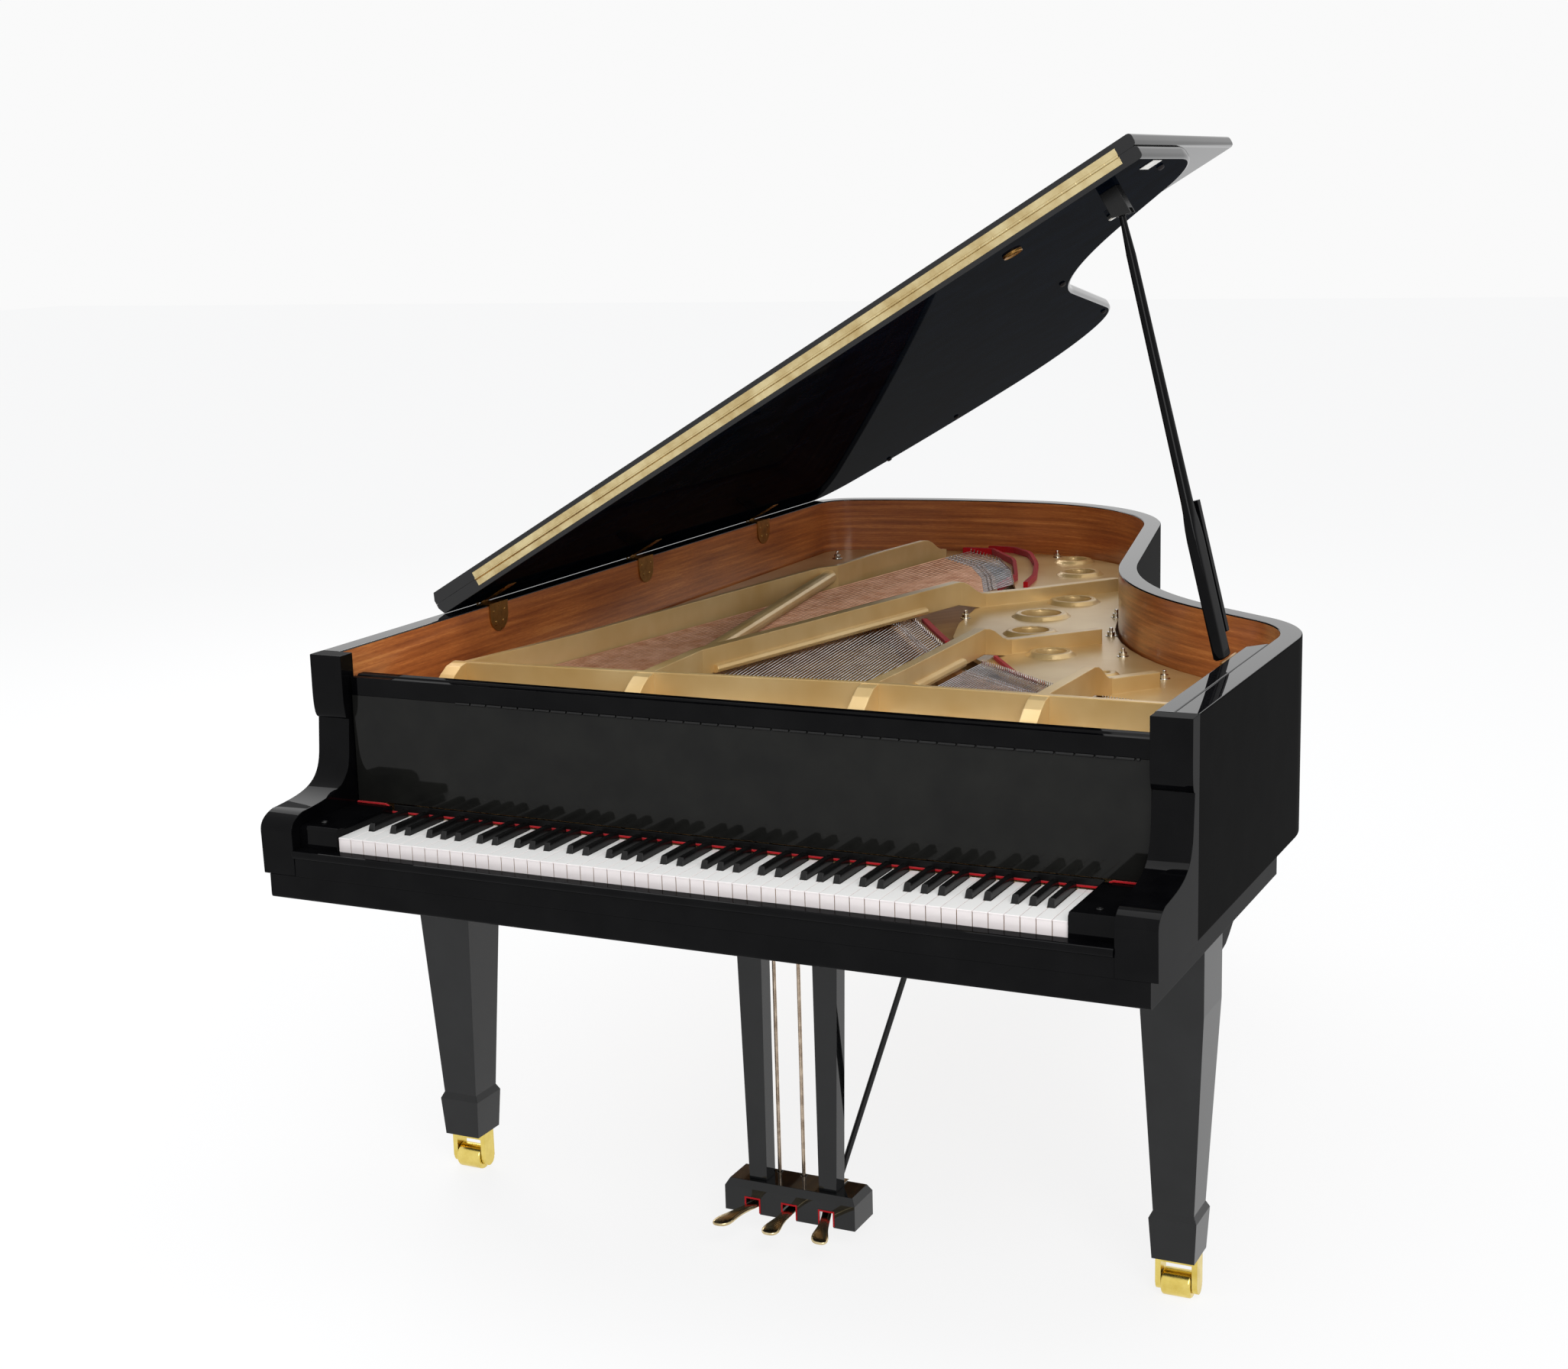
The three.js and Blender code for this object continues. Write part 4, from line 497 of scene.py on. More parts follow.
def finishPiece(name, mesh, body, stands=(), bevel=0.0, subdivide=0, smooth=32):
    piece = bpy.data.objects.new(name, mesh)
    bpy.context.scene.collection.objects.link(piece)
    if bevel:
        rounding = piece.modifiers.new("easedEdges", "BEVEL")
        rounding.width = bevel / 1000
        rounding.segments = 2
        rounding.limit_method = "ANGLE"
    if subdivide:
        finer = piece.modifiers.new("finer", "SUBSURF")
        finer.levels = finer.render_levels = subdivide
    if bevel or subdivide:
        settle(piece)
    piece.data.shade_smooth()
    piece.data.set_sharp_from_angle(angle=math.radians(smooth))
    weighting = piece.modifiers.new("evenShading", "WEIGHTED_NORMAL")
    weighting.keep_sharp = True
    settle(piece)
    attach(piece, body)
    if stands:
        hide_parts(*stands)
    return piece


def startTree(name, inputs):  # a Geometry Nodes tree with its named inputs
    tree = bpy.data.node_groups.new(name, "GeometryNodeTree")
    tree.interface.new_socket("Geometry", in_out="INPUT", socket_type="NodeSocketGeometry")
    for socket, kind in inputs.items():
        tree.interface.new_socket(socket, in_out="INPUT", socket_type=kind)
    tree.interface.new_socket("Geometry", in_out="OUTPUT", socket_type="NodeSocketGeometry")
    return tree, addNode(tree, "NodeGroupInput").outputs


def endTree(tree, shape, coat):  # real meshes with their material leave the tree
    real = addNode(tree, "GeometryNodeRealizeInstances", {0: shape.outputs[0]})
    coated = addNode(tree, "GeometryNodeSetMaterial", {"Geometry": real.outputs[0], "Material": coat})
    addNode(tree, "NodeGroupOutput", {0: coated.outputs[0]})
    return tree


def makeWireTree():  # a round wire along every chain of edges
    tree, given = startTree("roundWire", {
        "Radius": "NodeSocketFloat", "Sides": "NodeSocketInt", "Coat": "NodeSocketMaterial"})
    path = addNode(tree, "GeometryNodeMeshToCurve", {0: given["Geometry"]})
    section = addNode(tree, "GeometryNodeCurvePrimitiveCircle", {
        "Resolution": given["Sides"], "Radius": given["Radius"]})
    wire = addNode(tree, "GeometryNodeCurveToMesh", {
        "Curve": path.outputs[0], "Profile Curve": section.outputs[0], "Fill Caps": True})
    return endTree(tree, wire, given["Coat"])


def makeScatterTree():  # one fastener on every point, turned by the point's own angles
    tree, given = startTree("fasteners", {
        "Fastener": "NodeSocketObject", "Size": "NodeSocketFloat", "Coat": "NodeSocketMaterial"})
    points = addNode(tree, "GeometryNodeMeshToPoints", {0: given["Geometry"]})
    shape = addNode(tree, "GeometryNodeObjectInfo", {"Object": given["Fastener"]})
    turn = addNode(tree, "GeometryNodeInputNamedAttribute", {"Name": "turn"}, data_type="FLOAT_VECTOR")
    rotation = addNode(tree, "FunctionNodeEulerToRotation", {0: turn.outputs[0]})
    placed = addNode(tree, "GeometryNodeInstanceOnPoints", {
        "Points": points.outputs[0], "Instance": shape.outputs["Geometry"], "Rotation": rotation.outputs[0],
        "Scale": given["Size"]})
    return endTree(tree, placed, given["Coat"])


wireTree = makeWireTree()
scatterTree = makeScatterTree()


def grow(mesh, tree, values):  # runs a tree on a mesh and returns the plain mesh that it makes
    holder = bpy.data.objects.new("holder", mesh)
    bpy.context.scene.collection.objects.link(holder)
    modifier = holder.modifiers.new("grow", "NODES")
    modifier.node_group = tree
    for socket in tree.interface.items_tree:
        if socket.in_out == "INPUT" and socket.name in values:
            modifier[socket.identifier] = values[socket.name]
    evaluated = holder.evaluated_get(bpy.context.evaluated_depsgraph_get())
    result = bpy.data.meshes.new_from_object(evaluated)
    holder.modifiers.clear()
    bpy.data.objects.remove(holder)
    return result


def layWires(name, paths, radius, coat, body, stands=(), at=place, sides=6):
    points = [at(*spot) for path in paths for spot in path]
    edges = []
    start = 0
    for path in paths:
        edges += [(start + i, start + i + 1) for i in range(len(path) - 1)]
        start += len(path)
    mesh = bpy.data.meshes.new(name)
    mesh.from_pydata(points, edges, [])
    grown = grow(mesh, wireTree, {"Radius": radius / 1000, "Sides": sides, "Coat": finish[coat]})
    return finishPiece(name, grown, body, stands, smooth=60)


fastenerShapes = {  # profiles as (radius, height) in mm, turned with few sides because they are many
    "tuningPin": ([(3.4, -4), (3.4, 4), (4.7, 4.4), (4.7, 9), (3.4, 9.4), (3.4, 20), (2.6, 26)], 8),
    "screwHead": ([(2.9, -0.6), (2.9, 0.1), (2.3, 0.6), (1.1, 0.9), (0.6, 0.5)], 10),
    "hitchPin": ([(1.5, -2), (1.5, 9), (1.0, 10)], 6),
    "bridgePin": ([(0.9, -2), (0.9, 3.5), (0.6, 4)], 5),
    "agraffe": ([(3.0, -5), (3.0, 1), (4.2, 1.6), (4.2, 3), (2.6, 3.6), (2.6, 10), (1.8, 11)], 8),
    "plateBolt": ([(11, -1), (11, 1), (7.4, 1.4), (7.4, 8), (3.8, 8.6), (3.8, 15), (3.2, 16)], 12),
    "bumper": ([(6, -1), (6, 2.4), (5, 4), (3, 4.8)], 16),
}


def scatter(name, shape, spots, coat, body, size=1.0, at=place, along=None):
    # spots are places; along gives the direction of a fastener's axis in the part's frame
    profile, sides = fastenerShapes[shape]
    bm = bmesh.new()
    turned(bm, profile, lambda x, y, z: Vector((x, y, z)) / 1000, sides)
    bmesh.ops.recalc_face_normals(bm, faces=bm.faces)
    template = bpy.data.objects.new(shape, bpy.data.meshes.new(shape))
    bm.to_mesh(template.data)
    bm.free()
    mesh = bpy.data.meshes.new(name)
    mesh.from_pydata([at(*spot) for spot in spots], [], [])
    axis = along or Vector((0, 0, 1))
    turn = axis.to_track_quat("Z", "Y").to_euler()
    attribute = mesh.attributes.new("turn", "FLOAT_VECTOR", "POINT")
    attribute.data.foreach_set("vector", list(turn) * len(spots))
    grown = grow(mesh, scatterTree, {"Fastener": template, "Size": size, "Coat": finish[coat]})
    bpy.data.objects.remove(template)
    return finishPiece(name, grown, body, smooth=40)


# Case

rim = {
    "halfWidth": 748, "length": 2228.09, "wall": 36, "bottom": 664.3, "top": 996, "front": 168.3,
    "ease": 2.4,
    "veneerFoot": 837,  # the veneer inside starts at the top of the inner rim
    "straight": 741,
    # each bend's radius, turn, steps and the straight stretch after it
    "bends": [(213, 55, 20, 122), (703, -43, 26, 497), (412, 75.6, 26, 0)],
    "tail": (1385, 12), "corner": (112, 14),  # radius, steps
}


def rimPlan(inset, frontY):  # plan inside the outer face, from the treble front round to the bass front
    heading = math.pi / 2
    x, y = rim["halfWidth"] - inset, rim["straight"]
    outline = [(x, frontY), (x, y)]

    def bend(radius, turn, steps):
        nonlocal heading, x, y
        side = math.copysign(1, turn)
        reach = radius - side * inset
        centreX = x - side * reach * math.sin(heading)
        centreY = y + side * reach * math.cos(heading)
        start = heading
        for i in range(1, steps + 1):
            heading = start + turn * i / steps
            x = centreX + side * reach * math.sin(heading)
            y = centreY - side * reach * math.cos(heading)
            outline.append((x, y))

    for radius, degrees, steps, length in rim["bends"]:
        bend(radius, math.radians(degrees), steps)
        if length:
            x += length * math.cos(heading)
            y += length * math.sin(heading)
            outline.append((x, y))
    tailRadius, tailSteps = rim["tail"]
    cornerRadius, cornerSteps = rim["corner"]
    across = inset - rim["halfWidth"] - x + (tailRadius - inset) * math.sin(heading) + cornerRadius - inset
    toCorner = math.pi - math.asin(across / (tailRadius - cornerRadius))
    bend(tailRadius, toCorner - heading, tailSteps)
    bend(cornerRadius, 1.5 * math.pi - heading, cornerSteps)
    outline.append((inset - rim["halfWidth"], frontY))
    return outline


def makeRim():
    wall, ease, foot = rim["wall"], rim["ease"], rim["veneerFoot"]
    levels = easedLevels(rim["bottom"], rim["top"], ease)
    outer = [(inset, z) for inset, z in levels]
    inner = [(wall - inset, z) for inset, z in reversed(levels)]
    half = len(inner) // 2
    section = outer + inner[:half] + [(wall, foot)] + inner[half:]
    veneerStrip = len(outer) + half - 1
    topStrips = range(len(outer) // 2 + 2, veneerStrip)
    # the rim's outer face takes the darker polyester copy (painted shade), its top strips the brighter copy
    # (painted light)
    coats = [1 if i == veneerStrip else 2 if i in topStrips else 0 for i in range(len(section))]
    plans = [rimPlan(inset, rim["front"]) for inset, z in section]
    loops = [[(*plan[i], z) for plan, (inset, z) in zip(plans, section)] for i in range(len(plans[0]))]
    bm = bmesh.new()
    rows = skin(bm, loops, coats=coats)[0]
    uvLayer = bm.loops.layers.uv.new("alongRim")
    along = {}
    length = 0.0
    middle = [Vector(spot) for spot in rimPlan(wall, rim["front"])]
    for i, row in enumerate(rows):
        length += (middle[i] - middle[i - 1]).length / 1000 if i else 0
        for vert in row:
            along[vert] = length
    for face in bm.faces:
        for corner in face.loops:
            corner[uvLayer].uv = (along[corner.vert], corner.vert.co.z)
    return addPiece("rimShell", bm, ["shadedRimPolyester", "veneer", "litPolyester"], "case", ["outer_rim"])


arms = {
    "inner": 686, "back": 168, "foot": -23, "topFront": 134, "bandBottom": 937,
    "coveBack": 146, "coveBottom": 888, "waistFront": 141, "waistBottom": 836,
    "shelfFront": 9, "shelfTop": 765, "noseFront": -25, "noseTop": 757, "noseBottom": 736,
    "sweep": ((0.04, 0.18), (0.31, 0.07)), "ease": 1.6, "steps": 18,
    "cheek": [(684, 164), (711.7, 164), (711.7, 690), (684, 654)], "cheekBottom": 876.3,
}


def curved(points, steps):  # points along a Bezier curve of three or four guides
    result = []
    for i in range(1, steps + 1):
        row = [Vector(spot) for spot in points]
        while len(row) > 1:
            row = [a.lerp(b, i / steps) for a, b in zip(row, row[1:])]
        result.append(tuple(row[0]))
    return result


def makeArms():
    a = arms
    spread, fall = a["waistFront"] - a["shelfFront"], a["waistBottom"] - a["shelfTop"]
    guides = [(a["waistFront"] - spread * across, a["shelfTop"] + fall * up) for across, up in a["sweep"]]
    steps = a["steps"]
    cove = [(a["topFront"], a["coveBottom"]), (a["coveBack"], a["coveBottom"])]
    nose = [(a["noseFront"], a["noseTop"]), (a["noseFront"], a["noseBottom"])]
    profile = [(a["foot"], rim["bottom"]), (a["back"], rim["bottom"]), (a["back"], rim["top"]),
               (a["topFront"], rim["top"]), (a["topFront"], a["bandBottom"])]
    profile += curved([profile[-1], *cove], steps // 2)
    profile += [(a["waistFront"], a["waistBottom"])]
    profile += curved([profile[-1], *guides, (a["shelfFront"], a["shelfTop"])], steps)
    profile += curved([profile[-1], *nose], steps // 2)
    for side, name in ((-1, "bass"), (1, "treble")):
        bm = bmesh.new()
        ends = sorted((side * a["inner"], side * rim["halfWidth"]))
        skin(bm, [[(x, y, z) for y, z in profile] for x in ends])
        if side > 0:
            # the cheek board takes the brighter polyester copy: painted light
            easedBoard(bm, a["cheek"], a["cheekBottom"], rim["top"], a["ease"], coat=1)
        addPiece(f"{name}Arm", bm, ["polyester", "litPolyester"], "case", [f"{name}_arm"],
                 bevel=a["ease"])


makeRim()
makeArms()
print("rim and arms made")

# Keys

keys = {
    "naturals": 52, "width": 1226, "top": 730, "bottom": 705, "gap": 1.0, "head": 50, "length": 400,
    "coverThickness": 2, "coverEnd": 151, "coverEase": 0.6, "leverInset": 0.15,
    "plate": (0.5, 1.6), "plateFoot": 0.5,  # front plate: its two faces, and how far it ends above the lever
    "sharpWidth": 11, "sharpFront": 52, "sharpEnd": 149, "sharpTop": 742, "capSeat": 1,
    "capLevels": [(0.35, 2.2, 6), (0.75, 4.2, 1.6), (1.3, 5.2, 0.5), (2.2, 6.4, 0)],  # sides, front, drop
    "capLever": (0.1, 0.2, 0.6),  # how far the lever stays inside the cap: sides, front, top
    "rails": [(14, 56, 26), (205, 245, 38), (372, 398, 40)],  # the key frame's three: front, back, height
    "railHalf": 612, "railEase": 1.5, "frameBottom": 664.3, "movingOctave": 4,
}
pitchNames = ["c", "c_sharp", "d", "d_sharp", "e", "f", "f_sharp", "g", "g_sharp", "a", "a_sharp", "b"]
naturalSteps = [0, 2, 4, 5, 7, 9, 11]


def keyPlace(note):  # which natural a note is (or none), the left side of its head and the middle of its tail
    pitch, octave = (note + 9) % 12, (note + 9) // 12
    pitchWidth = keys["width"] / keys["naturals"]
    octaveLeft = (octave * 7 - 5) * pitchWidth - keys["width"] / 2
    low = pitch < 5
    tail = pitchWidth * (3 / 5 if low else 4 / 7)
    centre = octaveLeft + (0 if low else 3 * pitchWidth) + ((pitch if low else pitch - 5) + 0.5) * tail
    natural = naturalSteps.index(pitch) if pitch in naturalSteps else None
    return natural, octaveLeft + (natural or 0) * pitchWidth, centre


def naturalOutline(note, left, end):
    pitchWidth = keys["width"] / keys["naturals"]
    headLeft, headRight = left + keys["gap"] / 2, left + pitchWidth - keys["gap"] / 2
    reach = keys["sharpWidth"] / 2 + keys["gap"]
    head = keys["head"]
    tailLeft, tailRight = headLeft, headRight
    if 0 < note and keyPlace(note - 1)[0] is None:
        tailLeft = keyPlace(note - 1)[2] + reach
    if note < 87 and keyPlace(note + 1)[0] is None:
        tailRight = keyPlace(note + 1)[2] - reach
    outline = [(headLeft, 0), (headRight, 0)]
    if tailRight < headRight:
        outline += [(headRight, head), (tailRight, head)]
    outline += [(tailRight, end), (tailLeft, end)]
    if tailLeft > headLeft:
        outline += [(tailLeft, head), (headLeft, head)]
    return outline


def addNatural(bm, note, left):  # a cover over a wooden lever, with its front plate
    top, bottom, ease, inset = keys["top"], keys["bottom"], keys["coverEase"], keys["leverInset"]
    cover = top - keys["coverThickness"]
    outline = naturalOutline(note, left, keys["coverEnd"])
    levels = [(0, cover), (0, top - ease), (ease * 0.3, top - ease * 0.3), (ease, top)]
    skin(bm, [[(x, y, z) for x, y in shrunk(outline, edge)] for edge, z in levels])
    plateFront, plateBack = keys["plate"]
    lever = [(x, max(y, plateBack)) for x, y in naturalOutline(note, left, keys["length"])]
    skin(bm, [[(x, y, z) for x, y in shrunk(lever, inset)] for z in (bottom, cover)], coat=1)
    plate = rectangle(outline[0][0] + inset, outline[1][0] - inset, plateFront, plateBack)
    skin(bm, [[(x, y, z) for x, y in plate] for z in (bottom + keys["plateFoot"], cover)])


def addSharp(bm, centre):  # a rounded black cap on a wooden lever
    left, right = centre - keys["sharpWidth"] / 2, centre + keys["sharpWidth"] / 2
    front, end = keys["sharpFront"], keys["sharpEnd"]
    levels = [(0, 0, keys["top"] - keys["capSeat"])]
    levels += [(inset, slope, keys["sharpTop"] - drop) for inset, slope, drop in keys["capLevels"]]
    skin(bm, [[(x, y, z) for x, y in rectangle(left + inset, right - inset, front + slope, end - inset)]
              for inset, slope, z in levels])
    inset, setBack, drop = keys["capLever"]
    lever = rectangle(left + inset, right - inset, front + setBack, keys["length"])
    skin(bm, [[(x, y, z) for x, y in lever] for z in (keys["bottom"], keys["top"] - drop)], coat=1)


def makeKeys():
    fixedNaturals, fixedSharps = bmesh.new(), bmesh.new()
    for note in range(88):
        natural, left, centre = keyPlace(note)
        moving = (note + 9) // 12 == keys["movingOctave"]
        sharp = natural is None
        bm = bmesh.new() if moving else fixedSharps if sharp else fixedNaturals
        if sharp:
            addSharp(bm, centre)
        else:
            addNatural(bm, note, left)
        if moving:
            name = f"key_{pitchNames[(note + 9) % 12]}"
            addPiece(f"moving_{name}", bm, ["black" if sharp else "white", "keyWood"], name,
                     [name], smooth=25)
    bottom, half = keys["frameBottom"], keys["railHalf"]
    for front, back, height in keys["rails"]:
        easedBoard(fixedNaturals, rectangle(-half, half, front, back), bottom, bottom + height,
                   keys["railEase"], coat=1)
    addPiece("fixedNaturals", fixedNaturals, ["white", "keyWood"], "case", ["keyboard"],
             smooth=25)
    addPiece("fixedSharps", fixedSharps, ["black", "keyWood"], "case", smooth=25)


makeKeys()
print("88 keys made")

# Lid and front flap, drawn closed and then turned up about the hinge line

lid = {
    "pivot": (-741, 1004), "angle": 30.4, "bottom": 998, "top": 1019, "ease": 6.6, "overhang": 8.6,
    "bassFace": -752, "bassFoot": -745.5, "fold": 522, "foldGap": 0.3, "foldRise": 0.15, "flapFront": -30,
    "hingePlaces": (651, 1208, 1754), "notch": (-735, 11.3),
    "cup": (479, 606, 17, 4), "cupWidth": 6, "cupEase": 1,
}


def lidAt(x, y, z):
    angle = math.radians(lid["angle"])
    across, up = x - lid["pivot"][0], z - lid["pivot"][1]
    return place(lid["pivot"][0] + across * math.cos(angle) - up * math.sin(angle), y,
                 lid["pivot"][1] + across * math.sin(angle) + up * math.cos(angle))


def flapAt(x, y, z):  # folded back over the fold line
    return lidAt(x, 2 * lid["fold"] - y, 2 * (lid["top"] + lid["foldRise"]) - z)


def bassSide(z):  # the bass edge is cut back below so that the lid clears its hinges
    share = min((z - lid["bottom"]) / (2 * lid["ease"]), 1)
    return lid["bassFoot"] + (lid["bassFace"] - lid["bassFoot"]) * share


def lidLevels():
    levels = easedLevels(lid["bottom"], lid["top"], lid["ease"])
    middle = len(levels) // 2
    return levels[:middle] + [(0, lid["bottom"] + 2 * lid["ease"])] + levels[middle:]


def makeLid():
    bm = bmesh.new()
    notchX, notchHalf = lid["notch"]
    loops = []
    for inset, z in lidLevels():
        side = bassSide(z)
        plan = [(max(x, side), y) for x, y in rimPlan(inset - lid["overhang"], lid["fold"] + lid["foldGap"])]
        notches = []
        for y in reversed(lid["hingePlaces"]):
            near, far = y - notchHalf, y + notchHalf
            notches += [(side, far), (notchX, far), (notchX, near), (side, near)]
        loops.append([(x, y, z) for x, y in plan[:-1] + notches + plan[-1:]])
    caps = skin(bm, loops, lidAt)[1]
    caps[0].material_index = 1
    x, y, radius, height = lid["cup"]
    width, ease = lid["cupWidth"], lid["cupEase"]
    profile = [(radius - width / 2, 1.5 * ease - height), (radius - ease, -height), (radius, ease - height),
               (radius, ease), (radius - width, ease), (radius - width, 2 * ease - height)]
    turned(bm, profile, lambda a, b, c: lidAt(x + a, y + b, lid["bottom"] + c), 32, coat=2, ring=True)
    # the lid's top and edges take the brighter copy (painted light), its underside the darker navy one
    # (painted shade and painted reflection)
    addPiece("lidBoard", bm, ["litPolyester", "shadedUnderLid", "hingeBrass"], "lid", ["main_lid"])


def makeFlap():
    bm = bmesh.new()
    back = lid["fold"] - lid["foldGap"]
    loops = []
    for inset, z in lidLevels():
        right, front = rim["halfWidth"] + lid["overhang"] - inset, lid["flapFront"] + inset
        loops.append([(x, y, z) for x, y in rectangle(bassSide(z), right, front, back)])
    skin(bm, loops, flapAt)
    # the flap takes the brighter polyester copy: painted light
    addPiece("flapBoard", bm, ["litPolyester"], "flap", ["front_flap"])


makeLid()
makeFlap()

longHinge = {
    "ends": (-652, 724), "face": 522.3, "leafThickness": 1.1, "proud": 0.2, "leafEdges": (1.2, 13),
    "knuckleRadius": 2.5, "knuckleLength": 26, "sides": 10,
    "groove": (0.2, 0.6, 0.8),  # between knuckles: its edge, the shoulder and the share of the radius
    "screwEnds": (30, 40), "screwPeriod": 113, "screwPair": 32, "screwStep": 14, "screwRow": 8,
    "screwSink": 0.72, "screwSize": 0.85,
}


def makeLongHinge(h):  # pale brass piano hinge on the front edges of lid and flap
    left, right = h["ends"]
    middle = lid["top"] + lid["foldRise"]
    front = h["face"] - h["proud"]  # the leaves are let into the boards, so that the flap can close
    back = front + h["leafThickness"]
    for name, body, side in (("lidHingeLeaf", "lid", -1), ("flapHingeLeaf", "flap", 1)):
        bm = bmesh.new()
        low, high = sorted(middle + side * edge for edge in h["leafEdges"])
        skin(bm, [[(x, y, z) for y, z in ((front, low), (front, high), (back, high), (back, low))]
                  for x in (left, right)], lidAt)
        addPiece(name, bm, ["paleBrass"], body, bevel=0.3)
        spots = []
        x = left + h["screwEnds"][0] + (h["screwStep"] if side < 0 else 0)
        while x < right - h["screwEnds"][1]:
            spots += [(x + offset, front + h["screwSink"], middle + side * h["screwRow"])
                      for offset in (0, h["screwPair"])]
            x += h["screwPeriod"]
        scatter(f"{name}Screws", "screwHead", spots, "paleBrass", body, h["screwSize"], lidAt,
                Vector((0, -1, 0)))
    bm = bmesh.new()
    stations = [station for start, end in knuckles(left, right, h["knuckleLength"])
                for station in knuckleStations(start, end, h["knuckleRadius"], h["groove"])]
    skin(bm, [[(x, lid["fold"] + a, middle + b) for a, b in circle(h["sides"], radius)]
              for x, radius in stations], lidAt)
    addPiece("longHingeKnuckles", bm, ["paleBrass"], "lid", smooth=50)


makeLongHinge(longHinge)

# Long prop

longProp = {
    "foot": (680, 566, 993), "lean": 14.7, "tilt": 3.6, "middle": -9,
    "stations": [  # height, width, thickness, roundness of the section
        (2.8, 39, 13, 0.3), (6, 44, 18, 0.3), (192, 44, 18, 0.3), (208, 42.4, 17.6, 0.36), (221, 37, 18, 0.5),
        (234, 30, 18, 0.7), (252, 26, 17.8, 0.85), (290, 23.6, 17.6, 0.9), (640, 18, 14.4, 0.9),
        (684, 14.8, 10, 0.9), (707.3, 14, 9, 0.9), (710.3, 11, 7, 0.9)],
    "sides": 24,
}


def propAt(x, y, z):  # from the leaning prop's own directions
    lean = math.radians(longProp["lean"])
    footX, footY, footZ = longProp["foot"]
    return place(footX + x * math.cos(lean) - z * math.sin(lean), footY + y,
                 footZ + x * math.sin(lean) + z * math.cos(lean))


def makeLongProp(p):  # a board that runs out into a slim rounded stick
    bm = bmesh.new()
    slope = math.tan(math.radians(p["tilt"]))
    skin(bm, [[(p["middle"] + thickness / 2 * squareOff(c, power),
                height * slope + width / 2 * squareOff(s, power), height)
               for c, s in circle(p["sides"], shift=0.5)]
              for height, width, thickness, power in p["stations"]], propAt)
    addPiece("propStick", bm, ["polyester"], "prop", ["long_prop"], smooth=50)


makeLongProp(longProp)

lidFittings = {
    "bumpers": [(329, 1221, 998), (152, 1930, 998), (-354, 2170, 998), (-560, 2180, 998), (728, 690, 998)],
    "leaf": (-734, -672, 13, 1.6),  # lid half of each side hinge: from, to, half length, thickness
    "leafScrews": [(22, -6), (36, 6), (50, -6)],  # from the leaf's edge, from the hinge's middle
    "rimScrews": [(-18, 14), (18, 14), (-12, 34), (12, 34)],  # from the hinge's middle, below the rim's top
    "rimFace": -709.2, "screwSize": 0.9,
    "seat": 0.1, "ease": 0.4,  # sunk plates: gap to the lid and eased edge
    "catch": (722, 748, 596, 640), "catchThickness": 1.4,
    "hook": (587, 824, 9, 6, 9, 1.5),  # place, half width, half depth, height, eased edge
    "ring": (7, 1.2, 24, 1), "ringSides": 20,  # radius, wire, distance in front of the hinge's middle, offset
}


def makeLidFittings(f):
    angle = math.radians(lid["angle"])
    down = Vector((math.sin(angle), 0, -math.cos(angle)))
    scatter("lidBumpers", "bumper", f["bumpers"], "darkFelt", "lid", 1.0, lidAt, down)
    left, right, half, thickness = f["leaf"]
    top, bottom = lid["bottom"] - f["seat"], lid["bottom"] - thickness
    bm = bmesh.new()
    spots = []
    for y in lid["hingePlaces"]:
        easedBox(bm, (left, right, y - half, y + half, bottom, top), f["ease"], lidAt)
        spots += [(left + ahead, y + offset, bottom) for ahead, offset in f["leafScrews"]]
    addPiece("lidHingeLeaves", bm, ["hingeBrass"], "lid")
    scatter("lidHingeScrews", "screwHead", spots, "hingeBrass", "lid", f["screwSize"], lidAt, down)
    spots = [(f["rimFace"], y + offset, rim["top"] - drop) for y in lid["hingePlaces"]
             for offset, drop in f["rimScrews"]]
    scatter("rimHingeScrews", "screwHead", spots, "hingeBrass", "case", f["screwSize"], place,
            Vector((1, 0, 0)))
    catch = bmesh.new()
    easedBox(catch, (*f["catch"], lid["bottom"] - f["catchThickness"], top), f["ease"], lidAt)
    x, y, halfWidth, halfDepth, height, ease = f["hook"]
    outline = rectangle(x - halfWidth, x + halfWidth, y - halfDepth, y + halfDepth)
    easedBoard(catch, outline, lid["bottom"] - height, top, ease, lidAt)
    addPiece("lidCatchPlates", catch, ["nickel"], "lid")
    radius, wire, ahead, offset = f["ring"]
    pivotX, pivotZ = lid["pivot"]
    rings = []
    for y in lid["hingePlaces"]:
        ring = [(pivotX + offset, y - ahead + a, pivotZ + b) for a, b in circle(f["ringSides"], radius)]
        rings += [ring + ring[:1], [(pivotX, y - ahead + radius, pivotZ), (pivotX, y + ahead, pivotZ)]]
    layWires("hingeRingPins", rings, wire, "hingeBrass", "case", sides=8)


makeLidFittings(lidFittings)
print("lid, flap and hinges made")

# Strings, bridges and pins

def inPlan(across, along):  # shares of the case's half width and length
    return (across * rim["halfWidth"], along * rim["length"])


